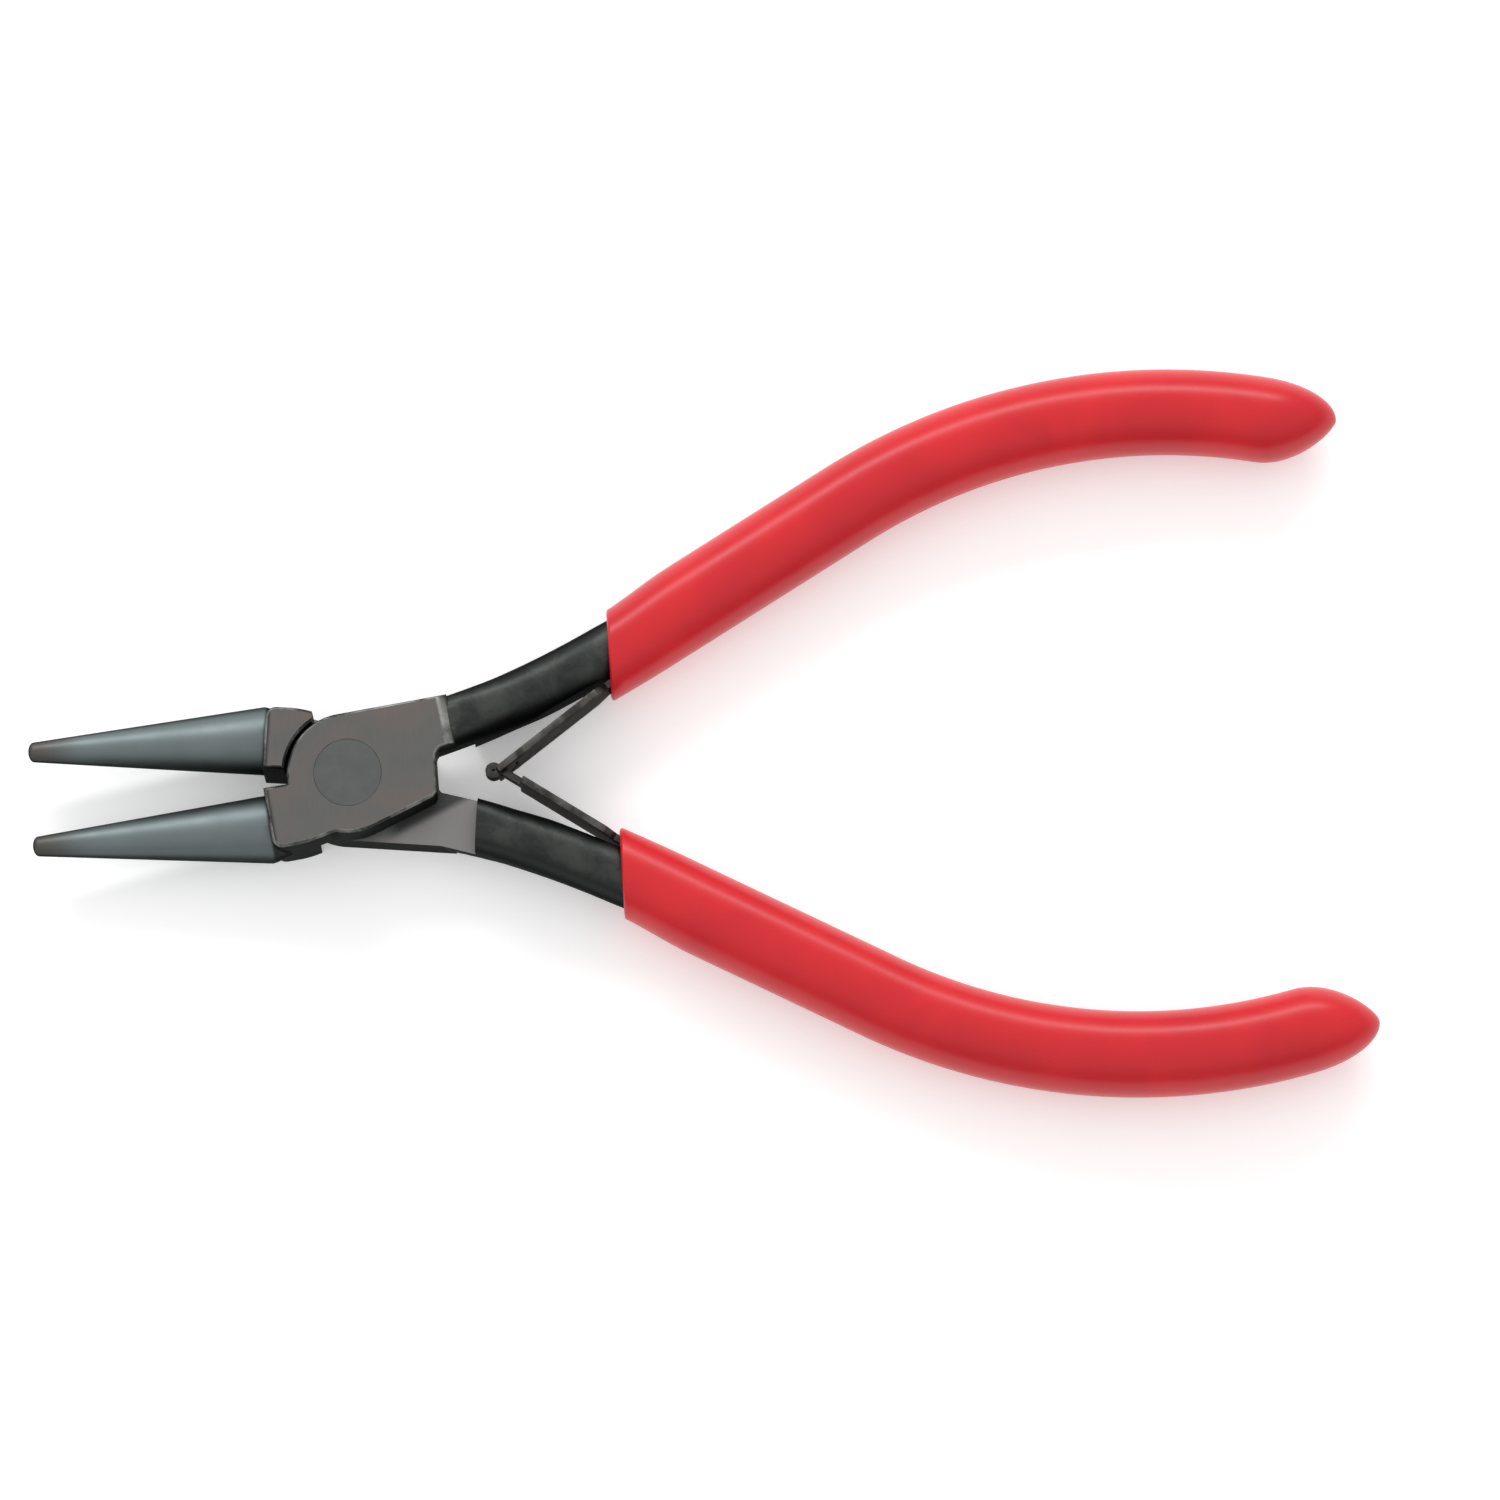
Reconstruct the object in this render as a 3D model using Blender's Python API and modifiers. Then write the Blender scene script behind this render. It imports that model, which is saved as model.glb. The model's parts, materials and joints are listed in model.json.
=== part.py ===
"""Round nose pliers, 115 mm long: lap-jointed halves, dipped grips and a double leaf spring.

Both halves are the same forging, one turned half a turn about the tool's long axis.
+X runs from the pivot to the grip ends, +Z runs along the pivot, z = 0 is the back of the joint.
Each half is drawn as it lies in the closed tool, then turned open about the pivot.
"""

import bmesh
import bpy
from math import asin, atan2, cos, pi, radians, sin
from mathutils import Matrix, Vector

MM = 0.001

# Whole tool
HALF_OPENING = radians(6.6)             # each half is turned this far from closed
JOINT_THICKNESS = 8.0 * MM
HALF_THICKNESS = JOINT_THICKNESS / 2
CLEARANCE = 0.3 * MM                    # between pieces that rest on or turn in each other
JAW_FACE_GAP = 0.05 * MM                # half of the slit left between the closed jaws

# Jaw cone and the block that it grows out of
JAW_TIP_X = -27.3 * MM
JAW_BASE_X = -7.2 * MM
JAW_TIP_RADIUS = 0.85 * MM
JAW_BASE_RADIUS = 2.90 * MM
JAW_TIP_ROUNDING = 0.55                 # depth of the rounded tip, as a share of its radius
JAW_ROOT_DEPTH = 1.6 * MM               # how far the cone runs on inside the block
BLOCK_OUTER_Y = -5.3 * MM
BLOCK_END_X = -4.4 * MM
NOTCH_ANGLE = radians(-111)             # where the block's end meets the joint disc

# Joint plate
JOINT_RADIUS = 5.1 * MM
SWING_EDGE_ANGLE = radians(-73)         # the straight edge leaves the disc here, as a tangent
SWING_CORNER_X = 7.1 * MM
PLATE_CORNER_X = 7.6 * MM
PLATE_END_X = 9.3 * MM
PLATE_CORNER_BELOW = 0.25 * MM          # the plate's corner stands out this far below the tang
PLATE_END_INSIDE = 0.05 * MM
LAP_BLOCK_X = -3.3 * MM                 # the lap recess runs from here
LAP_END_X = 11.0 * MM                   # to here, right across the half

# Pivot rivet
RIVET_RADIUS = 2.0 * MM
RIVET_HEAD_RADIUS = 2.9 * MM
RIVET_HEAD_DEPTH = 0.9 * MM
HOLE_BEYOND = 1.0 * MM                  # the hole's cutter runs on past both faces

# Centre line of a handle: a slight outward bend, a straight, then a long bend back in
HANDLE_START = Vector((8.96 * MM, 3.07 * MM))
START_HEADING = radians(10.0)
STRAIGHT_HEADING = radians(22.6)
END_HEADING = radians(-27.0)
OUTWARD_RADIUS = 90.0 * MM
STRAIGHT_LENGTH = 19.2 * MM
INWARD_RADIUS = 50.0 * MM
OUTWARD_LENGTH = OUTWARD_RADIUS * (STRAIGHT_HEADING - START_HEADING)
INWARD_LENGTH = INWARD_RADIUS * (STRAIGHT_HEADING - END_HEADING)
HANDLE_LENGTH = OUTWARD_LENGTH + STRAIGHT_LENGTH + INWARD_LENGTH

# Tang, the bare steel that the grip is dipped on: place along the handle, width, thickness
TANG_SECTIONS = (
    (-3.0 * MM, 4.45 * MM, 7.5 * MM),
    (1.0 * MM, 4.45 * MM, 7.3 * MM),
    (5.0 * MM, 4.50 * MM, 6.7 * MM),
    (10.0 * MM, 4.75 * MM, 5.8 * MM),
    (15.0 * MM, 4.95 * MM, 5.3 * MM),
    (22.0 * MM, 4.70 * MM, 5.1 * MM),
    (75.5 * MM, 3.90 * MM, 4.2 * MM),
    (78.0 * MM, 2.20 * MM, 2.4 * MM),
)
TANG_SQUARENESS = 2.6                   # exponent of the section's rounded outline

# Grip
GRIP_MOUTH = 15.3 * MM                  # along the handle
GRIP_WIDTH = 7.25 * MM
GRIP_THICKNESS = 7.5 * MM
GRIP_SQUARENESS = 2.1
MOUTH_OUTER_WALL = 0.80 * MM
MOUTH_INNER_WALL = 1.25 * MM            # it also covers the foot of the leaf spring
MOUTH_TAPER = 8.0 * MM                  # the wall reaches its full thickness over this length
MOUTH_SHARES = (0.0, 0.2, 0.5, 1.0)     # places of the sections along that taper
GRIP_END_LENGTH = 6.8 * MM              # the pointed, rounded end
GRIP_END_POINT = 0.74                   # 0.5 for a half ellipse, more for a sharper point
GRIP_END_WALL = 3.4 * MM
GRIP_TIP_GAP = 0.02 * MM                # the last section, just short of the tip
GRIP_STEP = 5.0 * MM
BORE_BEFORE = 4.0 * MM                  # the bore's cutter starts this far before the mouth

# Double leaf spring
LEAF_PLACE = 14.5 * MM                  # the leaf leaves the tang here, along the handle
LEAF_THICKNESS = 0.6 * MM
LEAF_WIDTH = 5.0 * MM
LEAF_GAP = 0.15 * MM
LEAF_FLAT_DEPTH = 0.5 * MM              # flat filed on the tang under the leaf's foot
LEAF_FLAT_LENGTHS = (9.0 * MM, 10.0 * MM)
LEAF_FOOT = 8.0 * MM
LEAF_FOOT_WIDTH = 3.4 * MM              # the foot is narrower, to go inside the grip
LEAF_FOOT_START = -1.5 * MM             # and narrows here, just short of the grip's mouth
LEAF_BEND = 1.0 * MM                    # half the length of the bend between foot and blade
LEAF_CROSSING_X = 12.9 * MM             # where the leaves cross, on the open tool's long axis
FORK_WIDTH = 2.0 * MM                   # the front leaf ends in a fork
FORK_BEFORE = 1.6 * MM
FORK_AFTER = 0.45 * MM
TONGUE_WIDTH = 1.4 * MM                 # and the back leaf in a rolled tongue, held in the fork
TONGUE_BEFORE = 2.0 * MM
ROLL_AFTER = 0.55 * MM
ROLL_RADIUS = 0.40 * MM
ROLL_TURN = radians(250)
ROLL_LENGTH = 4.0 * MM                  # more than the tongue and its roll reach past the crossing
SPRING_RIVET_RADIUS = 0.7 * MM
SPRING_RIVET_HEAD_RADIUS = 1.1 * MM
SPRING_RIVET_HEAD_FLAT = 0.7            # the head's flat top, as a share of its radius
SPRING_RIVET_HEAD = 0.25 * MM
SPRING_RIVET_PLACE = 4.2 * MM           # from the leaf's root, along its foot
SPRING_RIVET_SHORT = 0.35 * MM          # it stops this far inside the tang's outer side

# Room left around the pieces of the spring
PIN_ROOM = 0.25 * MM
HEAD_ROOM = 0.1 * MM
FOOT_ROOM = 0.2 * MM
FOOT_BEYOND = 3.0 * MM                  # the room under the grip runs on past the foot
FOOT_SHIFT = 0.6 * MM

TRIM_SIZE = 2.0 * MM                    # blocks that trim a leaf or cut the flat
TRIM_DEPTH = 4.0 * MM
PIN_REACH = 6.0 * MM

ROUND_SIDES = 32
SECTION_SIDES = 20

MATERIALS = {
    "forged_steel": ((0.13, 0.15, 0.15), 0.42, 1.0),
    "rivet_steel": ((0.17, 0.18, 0.175), 0.38, 1.0),
    "spring_steel": ((0.085, 0.082, 0.076), 0.40, 1.0),
    "red_vinyl": ((0.54, 0.022, 0.032), 0.28, 0.0),
}


# ---------------------------------------------------------------- scene and object helpers

def clear_scene():
    for item in list(bpy.data.objects):
        bpy.data.objects.remove(item, do_unlink=True)


def new_collection(name):
    collection = bpy.data.collections.new(name)
    bpy.context.scene.collection.children.link(collection)
    return collection


def new_material(name):
    colour, roughness, metallic = MATERIALS[name]
    material = bpy.data.materials.new(name)
    material.use_nodes = True
    shader = material.node_tree.nodes["Principled BSDF"]
    shader.inputs["Base Color"].default_value = (*colour, 1.0)
    shader.inputs["Roughness"].default_value = roughness
    shader.inputs["Metallic"].default_value = metallic
    material.diffuse_color = (*colour, 1.0)
    return material


def new_object(name, mesh, collection):
    item = bpy.data.objects.new(name, mesh)
    collection.objects.link(item)
    return item


def new_empty(name, collection, parent=None, location=(0, 0, 0), rotation=(0, 0, 0)):
    item = new_object(name, None, collection)
    item.parent = parent
    item.location = location
    item.rotation_euler = rotation
    return item


def as_cutter(item):
    item.display_type = "WIRE"
    item.hide_render = True
    return item


def evaluated_mesh(item, name):
    bpy.context.view_layer.update()
    depsgraph = bpy.context.evaluated_depsgraph_get()
    mesh = bpy.data.meshes.new_from_object(item.evaluated_get(depsgraph))
    mesh.name = name
    return mesh


def weld(mesh):
    surface = bmesh.new()
    surface.from_mesh(mesh)
    bmesh.ops.remove_doubles(surface, verts=surface.verts, dist=0.001 * MM)
    bmesh.ops.recalc_face_normals(surface, faces=surface.faces)
    surface.to_mesh(mesh)
    surface.free()


def combine(item, other, operation):
    modifier = item.modifiers.new(operation.lower() + "_" + other.name, "BOOLEAN")
    modifier.operation = operation
    modifier.solver = "EXACT"
    modifier.object = other


def shade_round(mesh):
    mesh.shade_smooth()
    mesh.set_sharp_from_angle(angle=radians(35))


# ---------------------------------------------------------------- shapes

def arc_points(centre, radius, start, end, steps):
    return [
        (centre[0] + radius * cos(start + (end - start) * i / steps),
         centre[1] + radius * sin(start + (end - start) * i / steps))
        for i in range(steps + 1)
    ]


def flat_plate(name, outline, low, high, collection):
    """A flat outline as a filled 2D curve, given its thickness between two heights."""
    curve = bpy.data.curves.new(name, "CURVE")
    curve.dimensions = "2D"
    curve.fill_mode = "BOTH"
    curve.extrude = (high - low) / 2
    spline = curve.splines.new("POLY")
    spline.points.add(len(outline) - 1)
    for point, (x, y) in zip(spline.points, outline):
        point.co = (x, y, 0, 1)
    spline.use_cyclic_u = True
    drawn = new_object(name, curve, collection)
    mesh = evaluated_mesh(drawn, name)
    bpy.data.objects.remove(drawn)
    mesh.transform(Matrix.Translation((0, 0, (low + high) / 2)))
    weld(mesh)
    return new_object(name, mesh, collection)


def turned(name, profile, collection):
    """A solid of revolution about Z from (radius, height) points, listed top to bottom."""
    mesh = bpy.data.meshes.new(name)
    edges = [(i, i + 1) for i in range(len(profile) - 1)]
    mesh.from_pydata([(radius, 0, height) for radius, height in profile], edges, [])
    item = new_object(name, mesh, collection)
    screw = item.modifiers.new("turn", "SCREW")
    screw.axis = "Z"
    screw.steps = ROUND_SIDES
    screw.render_steps = ROUND_SIDES
    screw.use_merge_vertices = True
    screw.merge_threshold = 0.001 * MM
    solid = evaluated_mesh(item, name)
    bpy.data.objects.remove(item)
    weld(solid)
    return new_object(name, solid, collection)


def block(name, size, matrix, collection):
    surface = bmesh.new()
    bmesh.ops.create_cube(surface, size=1.0, matrix=matrix @ Matrix.Diagonal((*size, 1.0)))
    mesh = bpy.data.meshes.new(name)
    surface.to_mesh(mesh)
    surface.free()
    return new_object(name, mesh, collection)


def section_ring(surface, centre, heading, facing, outer, inner, half_height, squareness):
    """One rounded section of a handle: a ring of vertices across the centre line.

    The section lies in the upright plane whose normal points along facing; outer and inner
    are its reaches to the two sides, measured square to the handle.
    """
    across = Vector((-sin(facing), cos(facing), 0)) / cos(heading - facing)
    middle = Vector((*centre, 0)) + across * (outer - inner) / 2
    reach = (outer + inner) / 2
    ring = []
    for i in range(SECTION_SIDES):
        turn = 2 * pi * i / SECTION_SIDES
        c, s = cos(turn), sin(turn)
        side = abs(c) ** (2 / squareness) * (1 if c > 0 else -1)
        rise = abs(s) ** (2 / squareness) * (1 if s > 0 else -1)
        place = middle + across * reach * side
        place.z = half_height * rise
        ring.append(surface.verts.new(place))
    return ring


def loft(name, rings_of, collection):
    """Closed solid through the rings that rings_of(surface) gives, with flat ends."""
    surface = bmesh.new()
    rings = rings_of(surface)
    for near, far in zip(rings, rings[1:]):
        for i in range(SECTION_SIDES):
            j = (i + 1) % SECTION_SIDES
            surface.faces.new((near[i], near[j], far[j], far[i]))
    surface.faces.new(rings[0])
    surface.faces.new(rings[-1])
    bmesh.ops.recalc_face_normals(surface, faces=surface.faces)
    mesh = bpy.data.meshes.new(name)
    surface.to_mesh(mesh)
    surface.free()
    return new_object(name, mesh, collection)


def ribbon(name, route, thickness, width, collection):
    """A flat strip that follows a route drawn in plan, standing on edge."""
    sides = ([], [])
    for i, place in enumerate(route):
        before = (place - route[i - 1]).normalized() if i else (route[1] - place).normalized()
        after = (route[i + 1] - place).normalized() if i + 1 < len(route) else before
        along = (before + after).normalized()
        normal = Vector((-along.y, along.x)) * thickness / 2 / along.dot(before)
        sides[0].append(place + normal)
        sides[1].append(place - normal)
    outline = [tuple(p) for p in sides[1] + sides[0][::-1]]
    return flat_plate(name, outline, -width / 2, width / 2, collection)


# ---------------------------------------------------------------- the handle's centre line

def handle_at(distance):
    """Point and heading of the handle's centre line at a distance from its start."""
    point, heading = HANDLE_START.copy(), START_HEADING
    pieces = (
        (OUTWARD_LENGTH, OUTWARD_RADIUS), (STRAIGHT_LENGTH, None), (INWARD_LENGTH, -INWARD_RADIUS))
    if distance < 0:
        return point + Vector((cos(heading), sin(heading))) * distance, heading
    for length, radius in pieces:
        step = min(distance, length)
        if radius is None:
            point += Vector((cos(heading), sin(heading))) * step
        else:
            turned_to = heading + step / radius
            point += Vector((sin(turned_to) - sin(heading), cos(heading) - cos(turned_to))) * radius
            heading = turned_to
        distance -= step
    return point, heading


def between(table, place):
    """Width and thickness of the tang at a place along the handle."""
    for low, high in zip(table, table[1:]):
        if place <= high[0]:
            share = (place - low[0]) / (high[0] - low[0])
            return tuple(a + (b - a) * share for a, b in zip(low[1:], high[1:]))
    return table[-1][1:]


def tang_solid(name, growth, start, end, collection):
    """The tang's own shape, or with growth the room that a grip keeps around it."""
    evenly = {i * GRIP_STEP for i in range(1, int(HANDLE_LENGTH / GRIP_STEP))}
    given = {row[0] for row in TANG_SECTIONS}
    places = sorted({start, end} | {place for place in evenly | given if start < place < end})

    def rings(surface):
        made = []
        for place in places:
            width, thickness = between(TANG_SECTIONS, place)
            point, heading = handle_at(place)
            half = width / 2 + growth
            made.append(section_ring(surface, point, heading, heading, half, half,
                                     thickness / 2 + growth, TANG_SQUARENESS))
        return made

    return loft(name, rings, collection)


# ---------------------------------------------------------------- frame of the leaf's foot

ROOT_POINT, ROOT_HEADING = handle_at(LEAF_PLACE)
ROOT_TANG_WIDTH = between(TANG_SECTIONS, LEAF_PLACE)[0]
FOOT_ALONG = Vector((cos(ROOT_HEADING), sin(ROOT_HEADING)))
FOOT_INWARD = Vector((sin(ROOT_HEADING), -cos(ROOT_HEADING)))
FLAT_OFFSET = ROOT_TANG_WIDTH / 2 - LEAF_FLAT_DEPTH
LEAF_OFFSET = FLAT_OFFSET + LEAF_GAP + LEAF_THICKNESS / 2
LEAF_ROOT = ROOT_POINT + FOOT_INWARD * LEAF_OFFSET


def foot_matrix(along, offset):
    """Frame on the handle near the leaf: X along the foot, Y outward, at an inward offset."""
    place = ROOT_POINT + FOOT_ALONG * along + FOOT_INWARD * offset
    return Matrix.Translation((*place, 0)) @ Matrix.Rotation(ROOT_HEADING, 4, "Z")


def leaf_direction():
    """Direction from the leaf's root to the crossing, in the closed tool's frame."""
    turn = Matrix.Rotation(-HALF_OPENING, 2)
    crossing = turn @ Vector((LEAF_CROSSING_X, 0))
    return crossing - LEAF_ROOT


# ---------------------------------------------------------------- steel halves

def head_outline():
    """Plan of the joint plate and the jaw block, anticlockwise from the jaw's inner corner."""
    notch = (JOINT_RADIUS * cos(NOTCH_ANGLE), JOINT_RADIUS * sin(NOTCH_ANGLE))
    edge_start = (JOINT_RADIUS * cos(SWING_EDGE_ANGLE), JOINT_RADIUS * sin(SWING_EDGE_ANGLE))
    slope = -1 / (edge_start[1] / edge_start[0])
    swing_corner = (SWING_CORNER_X, edge_start[1] + (SWING_CORNER_X - edge_start[0]) * slope)
    start, _ = handle_at(0)
    half_width = TANG_SECTIONS[1][1] / 2
    meet_angle = pi + asin(JAW_FACE_GAP / JOINT_RADIUS)
    short_steps, long_steps = 6, 14
    return (
        [(JAW_BASE_X, -JAW_FACE_GAP), (JAW_BASE_X, BLOCK_OUTER_Y), (BLOCK_END_X, BLOCK_OUTER_Y), notch]
        + arc_points((0, 0), JOINT_RADIUS, NOTCH_ANGLE, SWING_EDGE_ANGLE, short_steps)[1:]
        + [swing_corner, (PLATE_CORNER_X, start.y - half_width - PLATE_CORNER_BELOW)]
        + [(PLATE_END_X, start.y - half_width + PLATE_END_INSIDE), (PLATE_END_X, start.y + half_width)]
        + arc_points((0, 0), JOINT_RADIUS, pi / 2, meet_angle, long_steps)
    )


def jaw_cone(collection):
    length = JAW_BASE_X - JAW_TIP_X
    slope = (JAW_BASE_RADIUS - JAW_TIP_RADIUS) / length
    tilt = atan2(JAW_BASE_RADIUS - JAW_TIP_RADIUS, length)
    axis_length = length / cos(tilt)
    round_steps = 4
    tip_depth = JAW_TIP_ROUNDING * JAW_TIP_RADIUS
    tip = [
        (JAW_TIP_RADIUS * sin(pi / 2 * i / round_steps),
         axis_length - tip_depth * (1 - cos(pi / 2 * i / round_steps)))
        for i in range(round_steps + 1)
    ]
    root_radius = JAW_BASE_RADIUS + slope * JAW_ROOT_DEPTH
    profile = tip + [(JAW_BASE_RADIUS, 0), (root_radius, -JAW_ROOT_DEPTH), (0, -JAW_ROOT_DEPTH)]
    cone = turned("jaw_cone", profile, collection)
    base_y = -JAW_FACE_GAP - JAW_BASE_RADIUS / cos(tilt)
    stand = Matrix.Rotation(-pi / 2, 4, "Y")
    cone.data.transform(
        Matrix.Translation((JAW_BASE_X, base_y, 0)) @ Matrix.Rotation(-tilt, 4, "Z") @ stand)
    return cone


def rivet_profile(radius, head_radius, head_depth, half_length):
    return [
        (0, half_length), (head_radius, half_length), (radius, half_length - head_depth),
        (radius, head_depth - half_length), (head_radius, -half_length), (0, -half_length),
    ]


def steel_half_mesh(cutters):
    """Jaw, lap plate and tang as one forging, drawn closed, with its front at +Z."""
    head = flat_plate("half_head", head_outline(), -HALF_THICKNESS, HALF_THICKNESS, cutters)
    cone = jaw_cone(cutters)
    tang = tang_solid("half_tang", 0.0, TANG_SECTIONS[0][0], TANG_SECTIONS[-1][0], cutters)

    deep = 3 * HALF_THICKNESS
    lap_height = CLEARANCE / 2
    disc_steps = 56
    lap_circle = arc_points((0, 0), JOINT_RADIUS + CLEARANCE, 0, 2 * pi, disc_steps)[:-1]
    lap_disc = flat_plate("lap_disc", lap_circle, lap_height - deep, lap_height, cutters)
    lap_size = (LAP_END_X - LAP_BLOCK_X, 4 * JOINT_RADIUS, deep)
    lap_middle = Matrix.Translation(((LAP_END_X + LAP_BLOCK_X) / 2, 0, lap_height - deep / 2))
    lap_slab = block("lap_slab", lap_size, lap_middle, cutters)

    hole_profile = rivet_profile(RIVET_RADIUS + CLEARANCE, RIVET_HEAD_RADIUS + CLEARANCE,
                                 RIVET_HEAD_DEPTH, HALF_THICKNESS)
    wide, far = RIVET_HEAD_RADIUS + CLEARANCE, HALF_THICKNESS + HOLE_BEYOND
    hole_profile = [(0, far), (wide, far)] + hole_profile[1:-1] + [(wide, -far), (0, -far)]
    hole = turned("rivet_hole", hole_profile, cutters)

    back, forth = LEAF_FLAT_LENGTHS
    flat = block("leaf_flat", (back + forth, TRIM_SIZE, 2 * JOINT_THICKNESS),
                 foot_matrix((forth - back) / 2, FLAT_OFFSET + TRIM_SIZE / 2), cutters)
    pin_radius = SPRING_RIVET_RADIUS + PIN_ROOM
    pin_hole = spring_pin("spring_rivet_hole", pin_radius, PIN_REACH, -PIN_REACH, cutters)

    combine(head, cone, "UNION")
    combine(head, tang, "UNION")
    for cutter in (lap_disc, lap_slab, hole, flat, pin_hole):
        combine(head, cutter, "DIFFERENCE")
    mesh = evaluated_mesh(head, "steel_half")
    weld(mesh)
    shade_round(mesh)
    for helper in (head, cone, tang, lap_disc, lap_slab, hole, flat, pin_hole):
        as_cutter(helper)
    return mesh


# ---------------------------------------------------------------- grips

def grip_mesh(cutters):
    """Dipped sleeve with a slanted thin mouth and a rounded closed end."""
    end = HANDLE_LENGTH
    shoulder = end - GRIP_END_LENGTH
    end_steps = 6
    places = [GRIP_MOUTH + MOUTH_TAPER * share for share in MOUTH_SHARES]
    steps = int((shoulder - places[-1]) / GRIP_STEP)
    places += [places[-1] + (shoulder - places[-1]) * i / steps for i in range(1, steps + 1)]
    places += [shoulder + GRIP_END_LENGTH * sin(pi / 2 * i / end_steps) for i in range(1, end_steps)]
    places.append(end - GRIP_TIP_GAP)

    def rings(surface):
        made = []
        for place in places:
            point, heading = handle_at(place)
            tang_half = between(TANG_SECTIONS, place)[0] / 2
            share = min(1.0, (place - GRIP_MOUTH) / MOUTH_TAPER)
            full = sin(pi / 2 * share)
            outer = (tang_half + MOUTH_OUTER_WALL) * (1 - full) + GRIP_WIDTH / 2 * full
            inner = (tang_half + MOUTH_INNER_WALL) * (1 - full) + GRIP_WIDTH / 2 * full
            tang_thick = between(TANG_SECTIONS, place)[1]
            half_height = (tang_thick / 2 + MOUTH_OUTER_WALL) * (1 - full) + GRIP_THICKNESS / 2 * full
            if place > shoulder:
                shrink = (1 - ((place - shoulder) / GRIP_END_LENGTH) ** 2) ** GRIP_END_POINT
                outer, inner, half_height = outer * shrink, inner * shrink, half_height * shrink
            facing = heading + (-HALF_OPENING - heading) * (1 - share)
            made.append(section_ring(surface, point, heading, facing, outer, inner,
                                     half_height, GRIP_SQUARENESS))
        return made

    grip = loft("grip", rings, cutters)
    room = tang_solid("grip_room", CLEARANCE, GRIP_MOUTH - BORE_BEFORE, end - GRIP_END_WALL, cutters)
    leaf_top = LEAF_OFFSET + LEAF_THICKNESS / 2
    foot_top = leaf_top + FOOT_ROOM
    foot_room = block("foot_room", (LEAF_FOOT + FOOT_BEYOND, foot_top, LEAF_FOOT_WIDTH + 2 * PIN_ROOM),
                      foot_matrix(LEAF_FOOT / 2 - FOOT_SHIFT, foot_top / 2), cutters)
    head_top = leaf_top + HEAD_ROOM + SPRING_RIVET_HEAD + HEAD_ROOM
    head_room = spring_pin("rivet_head_room", SPRING_RIVET_HEAD_RADIUS + FOOT_ROOM, head_top, 0, cutters)
    for cutter in (room, foot_room, head_room):
        combine(grip, cutter, "DIFFERENCE")
    mesh = evaluated_mesh(grip, "grip_sleeve")
    weld(mesh)
    shade_round(mesh)
    for helper in (grip, room, foot_room, head_room):
        as_cutter(helper)
    return mesh


# ---------------------------------------------------------------- leaf spring

def leaf_route(roll):
    """Centre line of a leaf from its foot's end to its free end, with the root at the origin."""
    reach = leaf_direction()
    toward = reach.normalized()
    bend = LEAF_BEND
    route = [FOOT_ALONG * LEAF_FOOT, FOOT_ALONG * bend]
    corner_steps = 4
    for i in range(1, corner_steps):
        share = i / corner_steps
        route.append(FOOT_ALONG * bend * (1 - share) ** 2 + toward * bend * share ** 2)
    route.append(toward * bend)
    if not roll:
        return route + [toward * (reach.length + FORK_AFTER)]
    start = toward * (reach.length + ROLL_AFTER)
    route.append(start)
    # seen from +Z this leaf is drawn as its mirror image, so its roll turns to the right
    side = Vector((toward.y, -toward.x))
    centre = start + side * ROLL_RADIUS
    steps = 12
    for i in range(1, steps + 1):
        turn = ROLL_TURN * i / steps
        route.append(centre - side * ROLL_RADIUS * cos(turn) + toward * ROLL_RADIUS * sin(turn))
    return route


def leaf_matrix(along):
    """Frame on a leaf's blade with the root at the origin: X runs towards the free end."""
    reach = leaf_direction()
    place = reach.normalized() * along
    return Matrix.Translation((*place, 0)) @ Matrix.Rotation(atan2(reach.y, reach.x), 4, "Z")


def leaf_mesh(name, roll, cutters):
    leaf = ribbon(name + "_blank", leaf_route(roll), LEAF_THICKNESS, LEAF_WIDTH, cutters)
    crossing = leaf_direction().length
    to_root = Matrix.Translation((-LEAF_ROOT.x, -LEAF_ROOT.y, 0))
    helpers = [leaf]
    foot_size = (LEAF_FOOT + TRIM_DEPTH, TRIM_DEPTH, TRIM_SIZE)
    foot = to_root @ foot_matrix(LEAF_FOOT_START + foot_size[0] / 2, LEAF_OFFSET)
    for side in (-1, 1):
        offset = Matrix.Translation((0, 0, side * (LEAF_FOOT_WIDTH + TRIM_SIZE) / 2))
        helpers.append(block(name + "_foot_trim", foot_size, offset @ foot, cutters))
    if roll:
        start, end = crossing - TONGUE_BEFORE, crossing + ROLL_LENGTH
        for side in (-1, 1):
            offset = Matrix.Translation((0, 0, side * (TONGUE_WIDTH + TRIM_DEPTH) / 2))
            helpers.append(block(name + "_trim", (end - start, TRIM_DEPTH, TRIM_DEPTH),
                                 offset @ leaf_matrix((start + end) / 2), cutters))
    else:
        start, end = crossing - FORK_BEFORE, crossing + ROLL_LENGTH
        helpers.append(block(name + "_fork", (end - start, TRIM_DEPTH, FORK_WIDTH),
                             leaf_matrix((start + end) / 2), cutters))
    hole = spring_pin(name + "_hole", SPRING_RIVET_RADIUS + PIN_ROOM, PIN_REACH, 0, cutters)
    hole.data.transform(to_root)
    helpers.append(hole)
    for cutter in helpers[1:]:
        combine(leaf, cutter, "DIFFERENCE")
    mesh = evaluated_mesh(leaf, name)
    weld(mesh)
    shade_round(mesh)
    for helper in helpers:
        as_cutter(helper)
    return mesh


def spring_pin(name, radius, high, low, collection):
    """A plain round bar square to the leaf's foot, between two inward offsets."""
    bar = turned(name, [(0, high), (radius, high), (radius, low), (0, low)], collection)
    bar.data.transform(pin_matrix())
    return bar


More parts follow.
